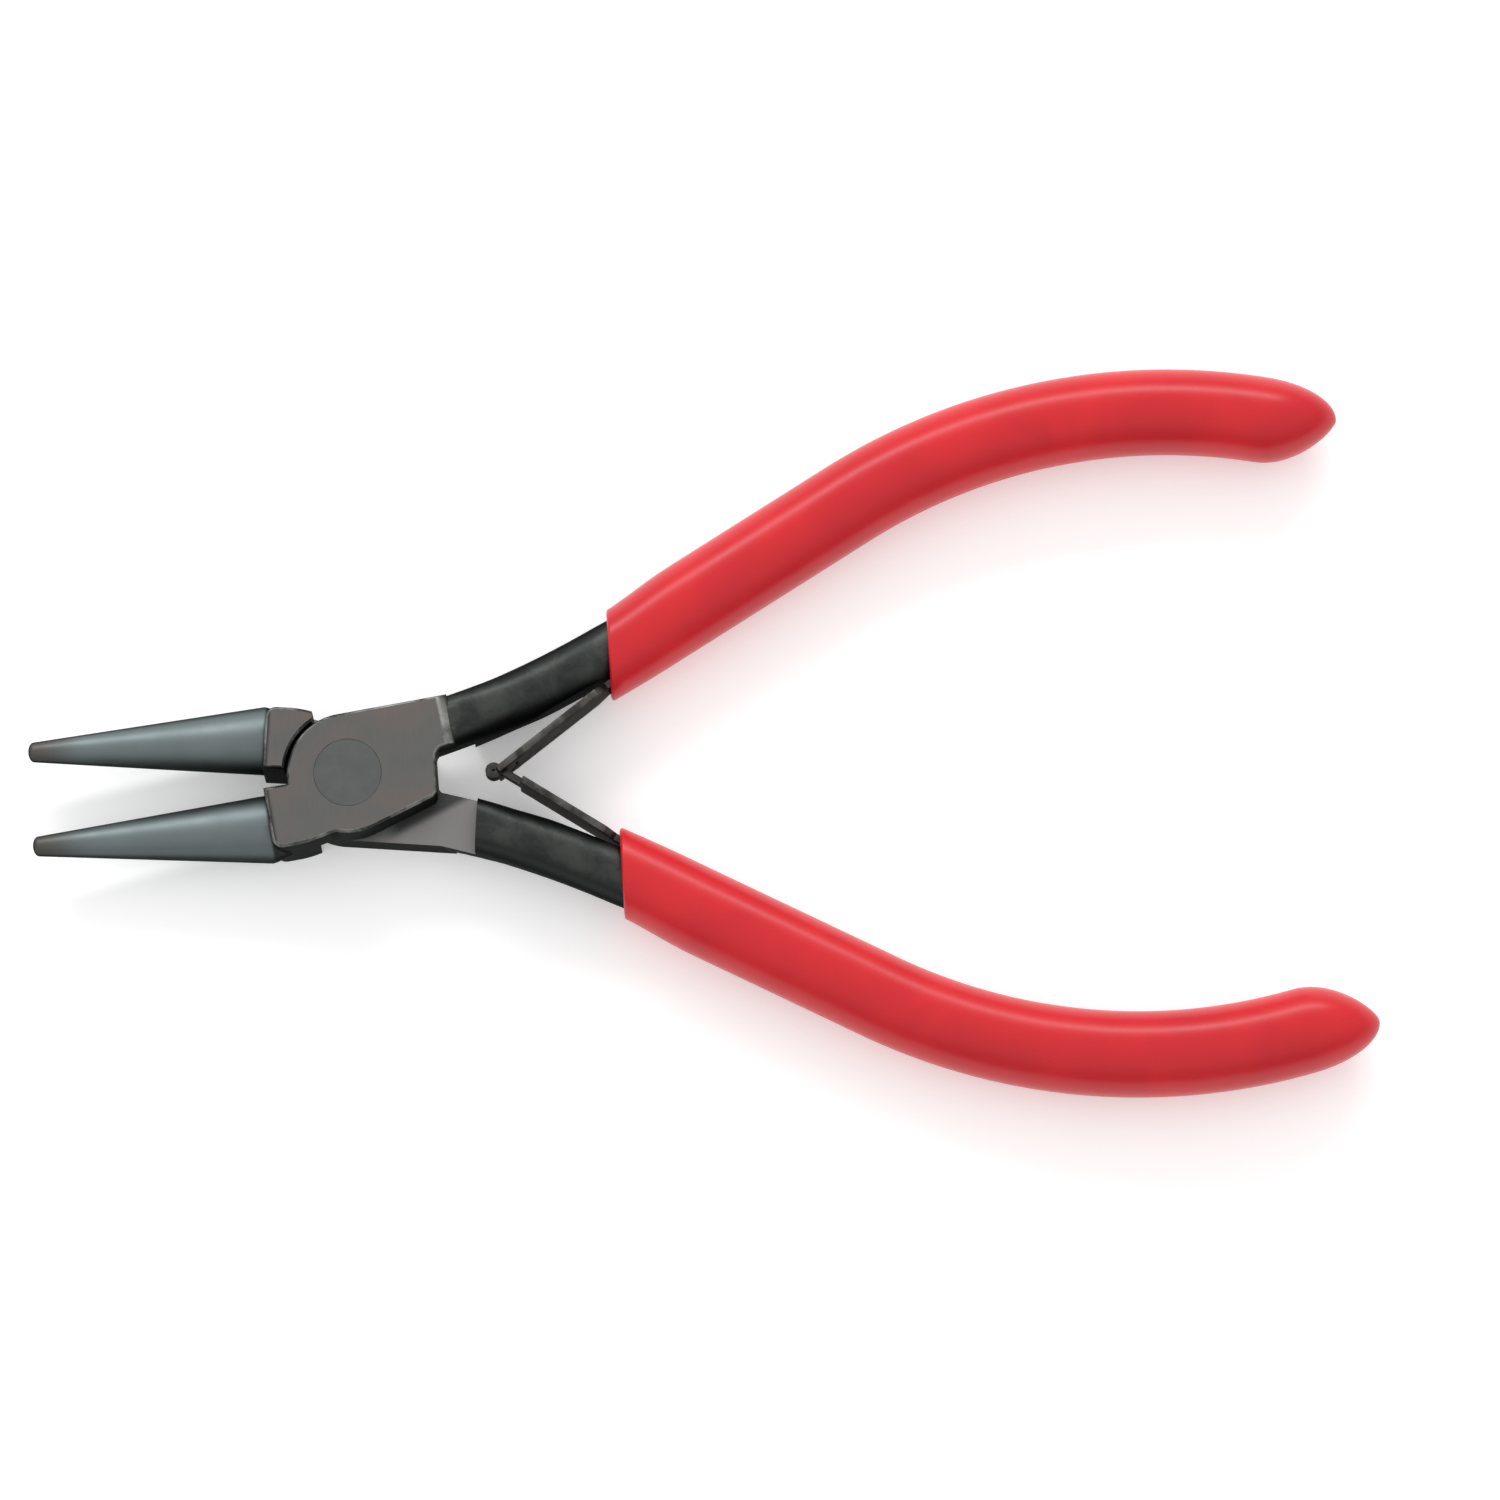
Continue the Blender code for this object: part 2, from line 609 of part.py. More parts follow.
def pin_matrix():
    """Frame whose Z runs inward, square to the leaf's foot, from the tang's centre."""
    return foot_matrix(SPRING_RIVET_PLACE, 0) @ Matrix.Rotation(pi / 2, 4, "X")


def spring_rivet_mesh(collection):
    under = LEAF_OFFSET + LEAF_THICKNESS / 2 + HEAD_ROOM
    top = under + SPRING_RIVET_HEAD
    end = SPRING_RIVET_SHORT - ROOT_TANG_WIDTH / 2
    profile = [
        (0, top), (SPRING_RIVET_HEAD_FLAT * SPRING_RIVET_HEAD_RADIUS, top),
        (SPRING_RIVET_HEAD_RADIUS, under), (SPRING_RIVET_RADIUS, under),
        (SPRING_RIVET_RADIUS, end), (0, end),
    ]
    rivet = turned("spring_rivet", profile, collection)
    rivet.data.transform(pin_matrix())
    mesh = rivet.data
    shade_round(mesh)
    bpy.data.objects.remove(rivet)
    return mesh


# ---------------------------------------------------------------- the assembly

def place(name, mesh, material, parent, collection):
    item = new_object(name, mesh, collection)
    item.parent = parent
    if not mesh.materials:
        mesh.materials.append(material)
    return item


def build():
    clear_scene()
    parts = new_collection("round_nose_pliers")
    cutters = new_collection("cutters")
    materials = {name: new_material(name) for name in MATERIALS}

    joint = new_empty("joint_centre", parts, location=(0, 0, HALF_THICKNESS))
    sides = {
        "front": new_empty("front_side", parts, joint, rotation=(0, 0, HALF_OPENING)),
        "back": new_empty("back_side", parts, joint, rotation=(pi, 0, -HALF_OPENING)),
    }
    half = steel_half_mesh(cutters)
    grip = grip_mesh(cutters)
    rivet = spring_rivet_mesh(cutters)
    leaves = {
        "front": leaf_mesh("forked_leaf", False, cutters),
        "back": leaf_mesh("hooked_leaf", True, cutters),
    }

    for side, turned_side in sides.items():
        place(side + "_half", half, materials["forged_steel"], turned_side, parts)
        place(side + "_grip", grip, materials["red_vinyl"], turned_side, parts)
        place(side + "_spring_rivet", rivet, materials["rivet_steel"], turned_side, parts)
        root = new_empty(side + "_leaf_root", parts, turned_side, location=(*LEAF_ROOT, 0))
        place(side + "_leaf_spring", leaves[side], materials["spring_steel"], root, parts)

    pivot_profile = rivet_profile(RIVET_RADIUS, RIVET_HEAD_RADIUS, RIVET_HEAD_DEPTH, HALF_THICKNESS)
    pivot = turned("pivot_rivet", pivot_profile, parts)
    pivot.parent = joint
    pivot.data.materials.append(materials["rivet_steel"])
    shade_round(pivot.data)
    bpy.context.view_layer.update()


build()
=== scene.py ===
"""Round nose pliers: fine pieces, finishes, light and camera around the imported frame.

The tool lies on its back. +X runs from the pivot to the grip ends, +Z up along the pivot.
Each half is modelled as it lies in the closed tool, about the pivot, and is then turned open.
"""

import json
import logging
from dataclasses import dataclass, field
from enum import Enum
from math import asin, atan2, cos, pi, radians, sin, tan
from typing import Optional, Sequence, Union

import bmesh
import bpy
from mathutils import Matrix, Vector


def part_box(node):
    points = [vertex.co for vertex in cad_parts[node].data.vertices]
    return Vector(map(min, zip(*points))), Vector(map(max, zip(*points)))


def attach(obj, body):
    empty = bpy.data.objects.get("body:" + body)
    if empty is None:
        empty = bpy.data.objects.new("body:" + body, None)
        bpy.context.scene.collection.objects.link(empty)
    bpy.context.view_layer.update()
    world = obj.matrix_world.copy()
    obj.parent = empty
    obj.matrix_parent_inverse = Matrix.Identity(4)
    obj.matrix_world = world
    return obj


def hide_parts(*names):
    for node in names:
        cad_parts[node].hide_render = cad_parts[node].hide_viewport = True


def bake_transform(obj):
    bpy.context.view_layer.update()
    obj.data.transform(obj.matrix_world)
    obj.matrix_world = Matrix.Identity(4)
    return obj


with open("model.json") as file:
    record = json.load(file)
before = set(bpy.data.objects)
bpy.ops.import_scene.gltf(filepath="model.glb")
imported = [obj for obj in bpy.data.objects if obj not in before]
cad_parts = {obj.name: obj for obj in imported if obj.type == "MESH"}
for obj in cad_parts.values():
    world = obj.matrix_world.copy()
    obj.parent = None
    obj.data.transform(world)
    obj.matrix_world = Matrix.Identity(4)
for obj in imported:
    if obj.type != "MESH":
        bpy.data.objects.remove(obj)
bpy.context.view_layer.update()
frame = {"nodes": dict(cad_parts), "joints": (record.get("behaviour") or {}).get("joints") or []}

MM = 0.001
LOG = logging.getLogger("pliers")
Number = Union[int, float]
Colour = tuple[float, float, float]


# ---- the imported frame

class Side(Enum):
    """The two halves of the tool, named by the face of the joint that they show."""

    FRONT = "front"
    BACK = "back"

    @property
    def sign(self) -> int:
        """+1 on the front half, -1 on the back half, which lies the other way up."""
        return 1 if self is Side.FRONT else -1

    @property
    def leaf_body(self) -> str:
        """Name of the body that this side's leaf spring bends towards."""
        return self.value + "_leaf"


def in_mm(*lengths: float) -> tuple[float, ...]:
    """Metres from lengths in millimetres."""
    return tuple(length * MM for length in lengths)


def joint_named(name: str) -> dict:
    """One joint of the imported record.

    Args:
        name: the joint's name.

    Returns:
        The joint as the record gives it.
    """
    return next(joint for joint in frame["joints"] if joint["name"] == name)


@dataclass(frozen=True)
class ToolFrame:
    """Place and opening of the tool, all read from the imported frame."""

    pivot: Vector = field(default_factory=lambda: Vector(joint_named("jaw_pivot")["pos_m"]))
    half_opening: float = field(default_factory=lambda: radians(joint_named("jaw_pivot")["range_deg"][1]) / 2)

    @property
    def half_thickness(self) -> float:
        """Half the thickness of the joint, which the pivot rivet fills."""
        low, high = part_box("pivot_rivet")
        return (high.z - low.z) / 2

    @property
    def jaw_reach(self) -> float:
        """Distance from the pivot to the jaw tips."""
        low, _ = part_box("front_half")
        return (self.pivot.x - low.x) / cos(self.half_opening)

    def placed(self, side: Side) -> Matrix:
        """Matrix from a half's closed drawing to its place in the open tool.

        Args:
            side: which half.

        Returns:
            The half's matrix: the back half is turned over before it is turned open.
        """
        turned_over = Matrix.Identity(4) if side is Side.FRONT else Matrix.Rotation(pi, 4, "X")
        opened = Matrix.Rotation(side.sign * self.half_opening, 4, "Z")
        return Matrix.Translation(self.pivot) @ opened @ turned_over

    def leaf_root(self) -> Vector:
        """Root of the leaf spring in the closed drawing of a half."""
        rest = Vector(joint_named("front_leaf_flex")["pos_m"])
        return (self.placed(Side.FRONT).inverted() @ rest).to_2d()


# ---- mesh helpers

def new_object(name: str, surface: bmesh.types.BMesh, outward: bool = True) -> bpy.types.Object:
    """Turns a bmesh into an object in the scene and frees it.

    Args:
        name: name of the object and its mesh.
        surface: the finished bmesh.
        outward: whether its doubles are merged and its faces turned outward first.

    Returns:
        The new object, at the origin.
    """
    if outward:
        bmesh.ops.remove_doubles(surface, verts=surface.verts, dist=0.0005 * MM)
        bmesh.ops.recalc_face_normals(surface, faces=surface.faces)
    mesh = bpy.data.meshes.new(name)
    surface.to_mesh(mesh)
    surface.free()
    item = bpy.data.objects.new(name, mesh)
    bpy.context.scene.collection.objects.link(item)
    return item


def applied(item: bpy.types.Object) -> bpy.types.Object:
    """Replaces an object's mesh by its evaluated one and drops its modifiers.

    Args:
        item: the object.

    Returns:
        The same object.
    """
    bpy.context.view_layer.update()
    mesh = bpy.data.meshes.new_from_object(item.evaluated_get(bpy.context.evaluated_depsgraph_get()))
    mesh.name = item.name
    item.modifiers.clear()
    item.data = mesh
    return item


def combine(item: bpy.types.Object, tools: Sequence[bpy.types.Object], operation: str) -> None:
    """Joins tools to an object, or cuts them from it, and removes them.

    Args:
        item: the object that is changed.
        tools: closed solids.
        operation: UNION or DIFFERENCE.
    """
    for tool in tools:
        modifier = item.modifiers.new(tool.name, "BOOLEAN")
        modifier.operation = operation
        modifier.solver = "EXACT"
        modifier.object = tool
    applied(item)
    for tool in tools:
        bpy.data.objects.remove(tool)


def shaded(item: bpy.types.Object, sharp_angle: float = radians(32)) -> bpy.types.Object:
    """Shades an object smooth with crisp edges, and keeps its large faces flat.

    Args:
        item: the object.
        sharp_angle: faces that meet at more than this keep a crisp edge.

    Returns:
        The same object.
    """
    item.data.shade_smooth()
    item.data.set_sharp_from_angle(angle=sharp_angle)
    weighted = item.modifiers.new("flat_faces", "WEIGHTED_NORMAL")
    weighted.keep_sharp = True
    return applied(item)


def outline_plate(points: Sequence[tuple[float, float]], rounding: dict[int, float], low: float,
                  high: float) -> bmesh.types.BMesh:
    """A flat outline, its corners rounded in plan, raised between two heights.

    Args:
        points: the outline, anticlockwise.
        rounding: radius for the corners that are rounded, by place in the outline.
        low: height of the lower face.
        high: height of the upper face.

    Returns:
        The plate as a closed bmesh.
    """
    surface = bmesh.new()
    corners = [surface.verts.new((x, y, low)) for x, y in points]
    edges = [surface.edges.new(pair) for pair in zip(corners, corners[1:] + corners[:1])]
    bmesh.ops.contextual_create(surface, geom=edges)
    for index, radius in rounding.items():
        bmesh.ops.bevel(surface, geom=[corners[index]], affect="VERTICES", offset=radius, segments=8,
                        profile=0.5, material=-1)
    raised = bmesh.ops.extrude_face_region(surface, geom=list(surface.faces))
    lifted = [item for item in raised["geom"] if isinstance(item, bmesh.types.BMVert)]
    bmesh.ops.translate(surface, verts=lifted, vec=(0, 0, high - low))
    bmesh.ops.recalc_face_normals(surface, faces=surface.faces)
    return surface


def arc(radius: float, start: float, end: float, steps: int) -> list[tuple[float, float]]:
    """Points along an arc about the pivot.

    Args:
        radius: the arc's radius.
        start: angle of its first point.
        end: angle of its last point.
        steps: number of chords.

    Returns:
        The points, both ends among them.
    """
    angles = [start + (end - start) * i / steps for i in range(steps + 1)]
    return [(radius * cos(a), radius * sin(a)) for a in angles]


def turned_solid(profile: Sequence[tuple[float, float]], sides: int) -> bmesh.types.BMesh:
    """A solid of revolution about Z.

    Args:
        profile: (radius, height) points from the axis round to the axis.
        sides: number of sides round the axis.

    Returns:
        The closed solid as a bmesh.
    """
    surface = bmesh.new()
    line = [surface.verts.new((radius, 0, height)) for radius, height in profile]
    edges = [surface.edges.new(pair) for pair in zip(line, line[1:])]
    bmesh.ops.spin(surface, geom=line + edges, cent=(0, 0, 0), axis=(0, 0, 1), angle=2 * pi, steps=sides,
                   use_merge=True, use_duplicate=False)
    bmesh.ops.remove_doubles(surface, verts=surface.verts, dist=0.0005 * MM)
    bmesh.ops.recalc_face_normals(surface, faces=surface.faces)
    return surface


def block_solid(size: Sequence[float], place: Matrix) -> bmesh.types.BMesh:
    """A cuboid as a bmesh.

    Args:
        size: its three sides.
        place: its matrix.

    Returns:
        The closed solid.
    """
    surface = bmesh.new()
    bmesh.ops.create_cube(surface, size=1.0, matrix=place @ Matrix.Diagonal((*size, 1.0)))
    return surface


def ring_edges(ring: Sequence[bmesh.types.BMVert]) -> list[bmesh.types.BMEdge]:
    """The edges that close a ring of vertices.

    Args:
        ring: the vertices in order.

    Returns:
        The edges between neighbours.
    """
    members = set(ring)
    return list({edge for vert in ring for edge in vert.link_edges if edge.other_vert(vert) in members})


def skinned(surface: bmesh.types.BMesh, rings: Sequence[Sequence[bmesh.types.BMVert]]) -> None:
    """Bridges a row of rings into a closed skin with filled ends.

    Args:
        surface: the bmesh that holds the rings.
        rings: the rings from one end to the other.
    """
    loops = [ring_edges(ring) for ring in rings]
    for near, far in zip(loops, loops[1:]):
        bmesh.ops.bridge_loops(surface, edges=near + far)
    for end in (rings[0], rings[-1]):
        bmesh.ops.contextual_create(surface, geom=list(end))
    bmesh.ops.recalc_face_normals(surface, faces=surface.faces)


# ---- shader helpers

class Socket:
    """An output in a material's node tree that takes part in Python expressions."""

    def __init__(self, shader: "Shader", link: bpy.types.NodeSocket) -> None:
        """Wraps one output socket of a shader's tree."""
        self.shader = shader
        self.link = link

    def _math(self, operation: str, *values: Union["Socket", Number]) -> "Socket":
        """Adds a Math node for an operation on values."""
        return self.shader.node("ShaderNodeMath", {"operation": operation}, dict(enumerate(values)))

    def __add__(self, other: Union["Socket", Number]) -> "Socket":
        """self + other."""
        return self._math("ADD", self, other)

    __radd__ = __add__

    def __sub__(self, other: Union["Socket", Number]) -> "Socket":
        """self - other."""
        return self._math("SUBTRACT", self, other)

    def __rsub__(self, other: Number) -> "Socket":
        """other - self."""
        return self._math("SUBTRACT", other, self)

    def __mul__(self, other: Union["Socket", Number]) -> "Socket":
        """self * other."""
        return self._math("MULTIPLY", self, other)

    __rmul__ = __mul__

    def __abs__(self) -> "Socket":
        """The size of self."""
        return self._math("ABSOLUTE", self)

    def ramp(self, low: float, high: float) -> "Socket":
        """0 below low, 1 above high, and a smooth rise between; falls if low is above high."""
        start, end = (0.0, 1.0) if low < high else (1.0, 0.0)
        values = {"Value": self, "From Min": min(low, high), "From Max": max(low, high), "To Min": start,
                  "To Max": end}
        return self.shader.node("ShaderNodeMapRange", {"interpolation_type": "SMOOTHSTEP"}, values)


class Shader:
    """One material under construction, with its Principled BSDF."""

    def __init__(self, name: str, **uniform: Union[Number, Colour]) -> None:
        """Starts a material whose Principled BSDF has some uniform values.

        Args:
            name: the material's name.
            uniform: values for the BSDF's own sockets, with _ for a space.
        """
        self.material = bpy.data.materials.new(name)
        self.material.use_nodes = True
        self.tree = self.material.node_tree
        self.bsdf = self.tree.nodes["Principled BSDF"]
        for label, value in uniform.items():
            self.bsdf.inputs[label.replace("_", " ")].default_value = value

    def node(self, kind: str, settings: Optional[dict] = None,
             values: Optional[dict[Union[str, int], Union[Socket, Number, Sequence[float]]]] = None,
             output: Union[str, int] = 0) -> Socket:
        """Adds one node.

        Args:
            kind: the node's type.
            settings: its own properties, set first.
            values: numbers, colours or sockets for its inputs, by name or number.
            output: which output is returned.

        Returns:
            The wrapped output.
        """
        made = self.tree.nodes.new(kind)
        for label, value in (settings or {}).items():
            setattr(made, label, value)
        for label, value in (values or {}).items():
            if isinstance(value, Socket):
                self.tree.links.new(value.link, made.inputs[label])
            else:
                made.inputs[label].default_value = value
        return Socket(self, made.outputs[output])

    def feed(self, label: str, value: Socket) -> None:
        """Links a socket to an input of the Principled BSDF."""
        self.tree.links.new(value.link, self.bsdf.inputs[label])

    def place(self) -> Socket:
        """Object coordinates, which are metres in the tool's frame."""
        return self.node("ShaderNodeTexCoord", output="Object")

    def axes(self, vector: Socket) -> tuple[Socket, Socket, Socket]:
        """The three parts of a vector."""
        split = self.node("ShaderNodeSeparateXYZ", values={0: vector})
        parts = split.link.node.outputs
        return Socket(self, parts[0]), Socket(self, parts[1]), Socket(self, parts[2])

    def stretched(self, vector: Socket, scale: Sequence[float]) -> Socket:
        """A vector scaled on each axis."""
        return self.node("ShaderNodeMapping", values={"Vector": vector, "Scale": tuple(scale)})

    def noise(self, vector: Socket, scale: float, detail: float = 3.0, roughness: float = 0.55,
              lumps: float = 0.0) -> Socket:
        """Smooth noise.

        Args:
            vector: where it is read.
            scale: cells a metre.
            detail: octaves of finer noise.
            roughness: weight of the finer octaves.
            lumps: distortion.

        Returns:
            A value from 0 to 1.
        """
        values = {"Vector": vector, "Scale": scale, "Detail": detail, "Roughness": roughness,
                  "Distortion": lumps}
        return self.node("ShaderNodeTexNoise", values=values)

    def blended(self, share: Union[Socket, Number], first: Union[Socket, Colour],
                second: Union[Socket, Colour], blend_type: str = "MIX") -> Socket:
        """Mixes two colours.

        Args:
            share: 0 gives the first colour, 1 the second.
            first: a colour.
            second: a colour.
            blend_type: the Mix node's blend type.

        Returns:
            The mixed colour.
        """
        values = {"Factor": share}
        mixed = self.node("ShaderNodeMix", {"data_type": "RGBA", "blend_type": blend_type}, values)
        made = mixed.link.node
        for socket, colour in ((made.inputs[6], first), (made.inputs[7], second)):
            if isinstance(colour, Socket):
                self.tree.links.new(colour.link, socket)
            else:
                socket.default_value = (*colour, 1.0)
        return Socket(self, made.outputs[2])

    def bumped(self, layers: Sequence[tuple[Socket, float, float]]) -> None:
        """Feeds Normal from a chain of bumps.

        Args:
            layers: (height, depth in metres, strength) of each bump.
        """
        normal = None
        for height, depth, strength in layers:
            values = {"Strength": strength, "Distance": depth, "Height": height}
            if normal is not None:
                values["Normal"] = normal
            normal = self.node("ShaderNodeBump", values=values)
        self.feed("Normal", normal)


def assign(item: bpy.types.Object, material: bpy.types.Material) -> None:
    """Gives an object one material."""
    item.data.materials.clear()
    item.data.materials.append(material)


def stand_in(item: bpy.types.Object, material: bpy.types.Material, node: str) -> None:
    """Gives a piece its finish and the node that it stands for."""
    assign(item, material)
    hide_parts(node)


# ---- finishes

@dataclass(frozen=True)
class ForgedSteel:
    """Dark forged steel, ground on the joint's faces and turned on the jaws; its sides are darkened, partly
    as scale and partly as painted shade, with painted shade and shadow at the tang, jaw shoulder and lap, and
    lighter rims that are partly worn and partly a painted highlight.
    """

    forged: Colour = (0.066, 0.071, 0.066)
    forged_dark: Colour = (0.034, 0.038, 0.037)
    ground: Colour = (0.138, 0.138, 0.132)
    ground_warm: Colour = (0.152, 0.132, 0.122)
    lapped: Colour = (0.225, 0.220, 0.217)
    turned: Colour = (0.180, 0.214, 0.217)
    worn_tip: Colour = (0.105, 0.094, 0.086)
    # scale: dark colour of unground forged sides, also used as painted shade on side walls, tang flanks, jaw
    # shoulder and lap face
    scale: Colour = (0.034, 0.037, 0.036)
    # lighter rims: partly worn edges, partly a painted highlight
    worn_edge_highlight: Colour = (0.42, 0.42, 0.40)
    jaw_start: float = -7.2 * MM
    # band of painted shade where the jaw meets the block
    shoulder_line: float = -7.05 * MM
    shoulder_shade_band: tuple[float, ...] = in_mm(0.40, 0.10)
    tip_wear: tuple[float, ...] = in_mm(-22.0, -26.5)
    # where the painted shade on the tang's flanks starts
    tang_start: tuple[float, ...] = in_mm(9.0, 11.0)
    rim_band: tuple[float, ...] = in_mm(0.35, 0.2)
    # the swing edge, and the band beside it where the plate's shadow is painted on the lap face
    swing_normal: tuple[float, float] = (0.402, 0.916)
    swing_distance: float = 5.1 * MM
    lap_shadow_band: tuple[float, ...] = in_mm(1.25, 0.45)
    lap_shadow_start: tuple[float, ...] = in_mm(2.4, 4.2)
    lap_band: tuple[float, ...] = in_mm(0.2, 0.12)
    flat_band: float = 0.06 * MM

    def material(self, tool: ToolFrame) -> bpy.types.Material:
        """Builds the material.

        Args:
            tool: the tool's frame, for the heights of the ground faces.

        Returns:
            The material.
        """
        shader = Shader("forged_steel", Metallic=1.0, Specular_Tint=(0.35, 0.35, 0.35, 1.0))
        place = shader.place()
        x, y, z = shader.axes(place)
        lean, rise = cos(tool.half_opening), sin(tool.half_opening)
        along_jaw = x * lean - abs(y) * rise
        from_edge = x * self.swing_normal[0] + abs(y) * self.swing_normal[1] - self.swing_distance
        height = abs(z - tool.pivot.z)
        facing = shader.axes(shader.node("ShaderNodeTexCoord", output="Normal"))
        up = abs(facing[2])
        level = up.ramp(0.985, 0.998)
        outer_face = height.ramp(tool.half_thickness - self.flat_band, tool.half_thickness - 0.01 * MM)
        lap_face = height.ramp(*self.lap_band)
        ground = (outer_face + lap_face).ramp(0.0, 1.0) * level
        jaw = along_jaw.ramp(self.jaw_start + 0.12 * MM, self.jaw_start - 0.12 * MM)
        # side walls: partly the dark scale of unground forging, partly painted shade
        side = up.ramp(0.78, 0.30)
        # painted shade: the tang's flanks darkened
        flank_shade = up.ramp(0.95, 0.62) * x.ramp(*self.tang_start)
        # painted shade: a dark band where the jaw meets the block
        shoulder = abs(along_jaw - self.shoulder_line).ramp(*self.shoulder_shade_band)
        # painted shadow of the front plate on the lap face beside its swing edge
        lap_shadow = lap_face * from_edge.ramp(*self.lap_shadow_band) * x.ramp(*self.lap_shadow_start)
        low, high = (tool.half_thickness - depth for depth in self.rim_band)
        rim = height.ramp(low, high) * (1 - level)

        mottle = shader.noise(place, 420.0, 4.0, 0.6, 0.6)
        grain = shader.noise(place, 3200.0, 3.0, 0.6)
        stain = shader.noise(place, 150.0, 2.0, 0.5, 1.0)
        streaks = shader.noise(shader.stretched(place, (22.0, 1.0, 1.0)), 520.0, 4.0, 0.65)
        rings = shader.noise(shader.stretched(place, (24.0, 0.6, 0.6)), 420.0, 3.0, 0.6)

        colour = shader.blended(mottle.ramp(0.28, 0.72), self.forged_dark, self.forged)
        ground_colour = shader.blended(stain.ramp(0.35, 0.7), self.ground, self.ground_warm)
        colour = shader.blended(ground, colour, ground_colour)
        colour = shader.blended(lap_face * level, colour, self.lapped)
        colour = shader.blended(jaw, colour, self.turned)
        colour = shader.blended(along_jaw.ramp(*self.tip_wear) * 0.85, colour, self.worn_tip)
        # the dark scale colour laid over the finish: partly real scale on the side walls, otherwise painted
        # shade and shadow
        colour = shader.blended(side * (1.0 - 0.25 * mottle), colour, self.scale)
        colour = shader.blended(flank_shade * (0.95 - 0.25 * mottle), colour, self.scale)
        colour = shader.blended(shoulder * 0.80, colour, self.scale)
        colour = shader.blended(lap_shadow * 0.85, colour, self.scale)
        # lighter rims: partly worn edges, partly a painted highlight
        wear_and_highlight = rim * mottle.ramp(0.35, 0.75)
        colour = shader.blended(wear_and_highlight * 0.7, colour, self.worn_edge_highlight)
        tone = 0.80 + 0.22 * stain + 0.18 * streaks * ground
        toned = shader.node("ShaderNodeCombineXYZ", values={0: tone, 1: tone, 2: tone})
        shader.feed("Base Color", shader.blended(1.0, colour, toned, "MULTIPLY"))

        rough = 0.46 - ground * 0.10 + jaw * 0.04
        shader.feed("Roughness", rough + (mottle - 0.5) * 0.16 + (streaks - 0.5) * 0.12 * ground)
        raw = 1 - (ground + jaw).ramp(0.0, 1.0)
        shader.bumped([
            ((grain + mottle) * raw, 0.035 * MM, 0.55),
            (streaks * ground, 0.012 * MM, 0.40),
            (rings * jaw, 0.012 * MM, 0.45),
        ])
        return shader.material


@dataclass(frozen=True)
class RivetSteel:
    """The rivets' steel, ground flush, a shade darker than the plate around it."""

    light: Colour = (0.122, 0.130, 0.125)
    dark: Colour = (0.106, 0.114, 0.110)

    def material(self) -> bpy.types.Material:
        """Builds the material and returns it."""
        shader = Shader("rivet_steel", Metallic=1.0)
        place = shader.place()
        cloud = shader.noise(place, 600.0, 4.0, 0.6, 0.3)
        streaks = shader.noise(shader.stretched(place, (22.0, 1.0, 1.0)), 560.0, 4.0, 0.65)
        shader.feed("Base Color", shader.blended(cloud.ramp(0.2, 0.8), self.dark, self.light))
        shader.feed("Roughness", 0.38 + 0.08 * cloud + (streaks - 0.5) * 0.08)
        shader.bumped([(cloud, 0.02 * MM, 0.15), (streaks, 0.010 * MM, 0.35)])
        return shader.material


@dataclass(frozen=True)
class SpringSteel:
    """Blued strip steel with rubbed, lighter patches."""

    blued: Colour = (0.040, 0.039, 0.037)
    rubbed: Colour = (0.112, 0.106, 0.098)

    def material(self) -> bpy.types.Material:
        """Builds the material and returns it."""
        shader = Shader("spring_steel", Metallic=1.0, Specular_Tint=(0.35, 0.35, 0.35, 1.0))
        place = shader.place()
        cloud = shader.noise(place, 820.0, 3.0, 0.55, 0.4)
        lines = shader.noise(shader.stretched(place, (1.0, 1.0, 18.0)), 700.0, 3.0, 0.6)
        shader.feed("Base Color", shader.blended(cloud.ramp(0.32, 0.74), self.blued, self.rubbed))
        shader.feed("Roughness", 0.32 + 0.20 * cloud)
        shader.bumped([(lines, 0.008 * MM, 0.4)])
        return shader.material


@dataclass(frozen=True)
class DippedVinyl:
    """Glossy red vinyl that was dipped on, with a soft, slightly uneven skin."""

    red: Colour = (0.630, 0.011, 0.017)
    deep: Colour = (0.530, 0.008, 0.016)

    def material(self) -> bpy.types.Material:
        """Builds the material and returns it."""
        shader = Shader("red_vinyl", IOR=1.46, Specular_IOR_Level=0.42)
        place = shader.place()
        cloud = shader.noise(place, 120.0, 3.0, 0.5, 0.5)
        swell = shader.noise(place, 230.0, 1.5, 0.4)
        skin = shader.noise(place, 2600.0, 2.0, 0.5)
        shader.feed("Base Color", shader.blended(cloud.ramp(0.25, 0.75), self.deep, self.red))
        shader.feed("Roughness", 0.27 + 0.10 * cloud + (skin - 0.5) * 0.06)
        shader.bumped([(swell, 0.10 * MM, 0.20), (skin, 0.008 * MM, 0.30)])
        return shader.material


# ---- the handle's centre line

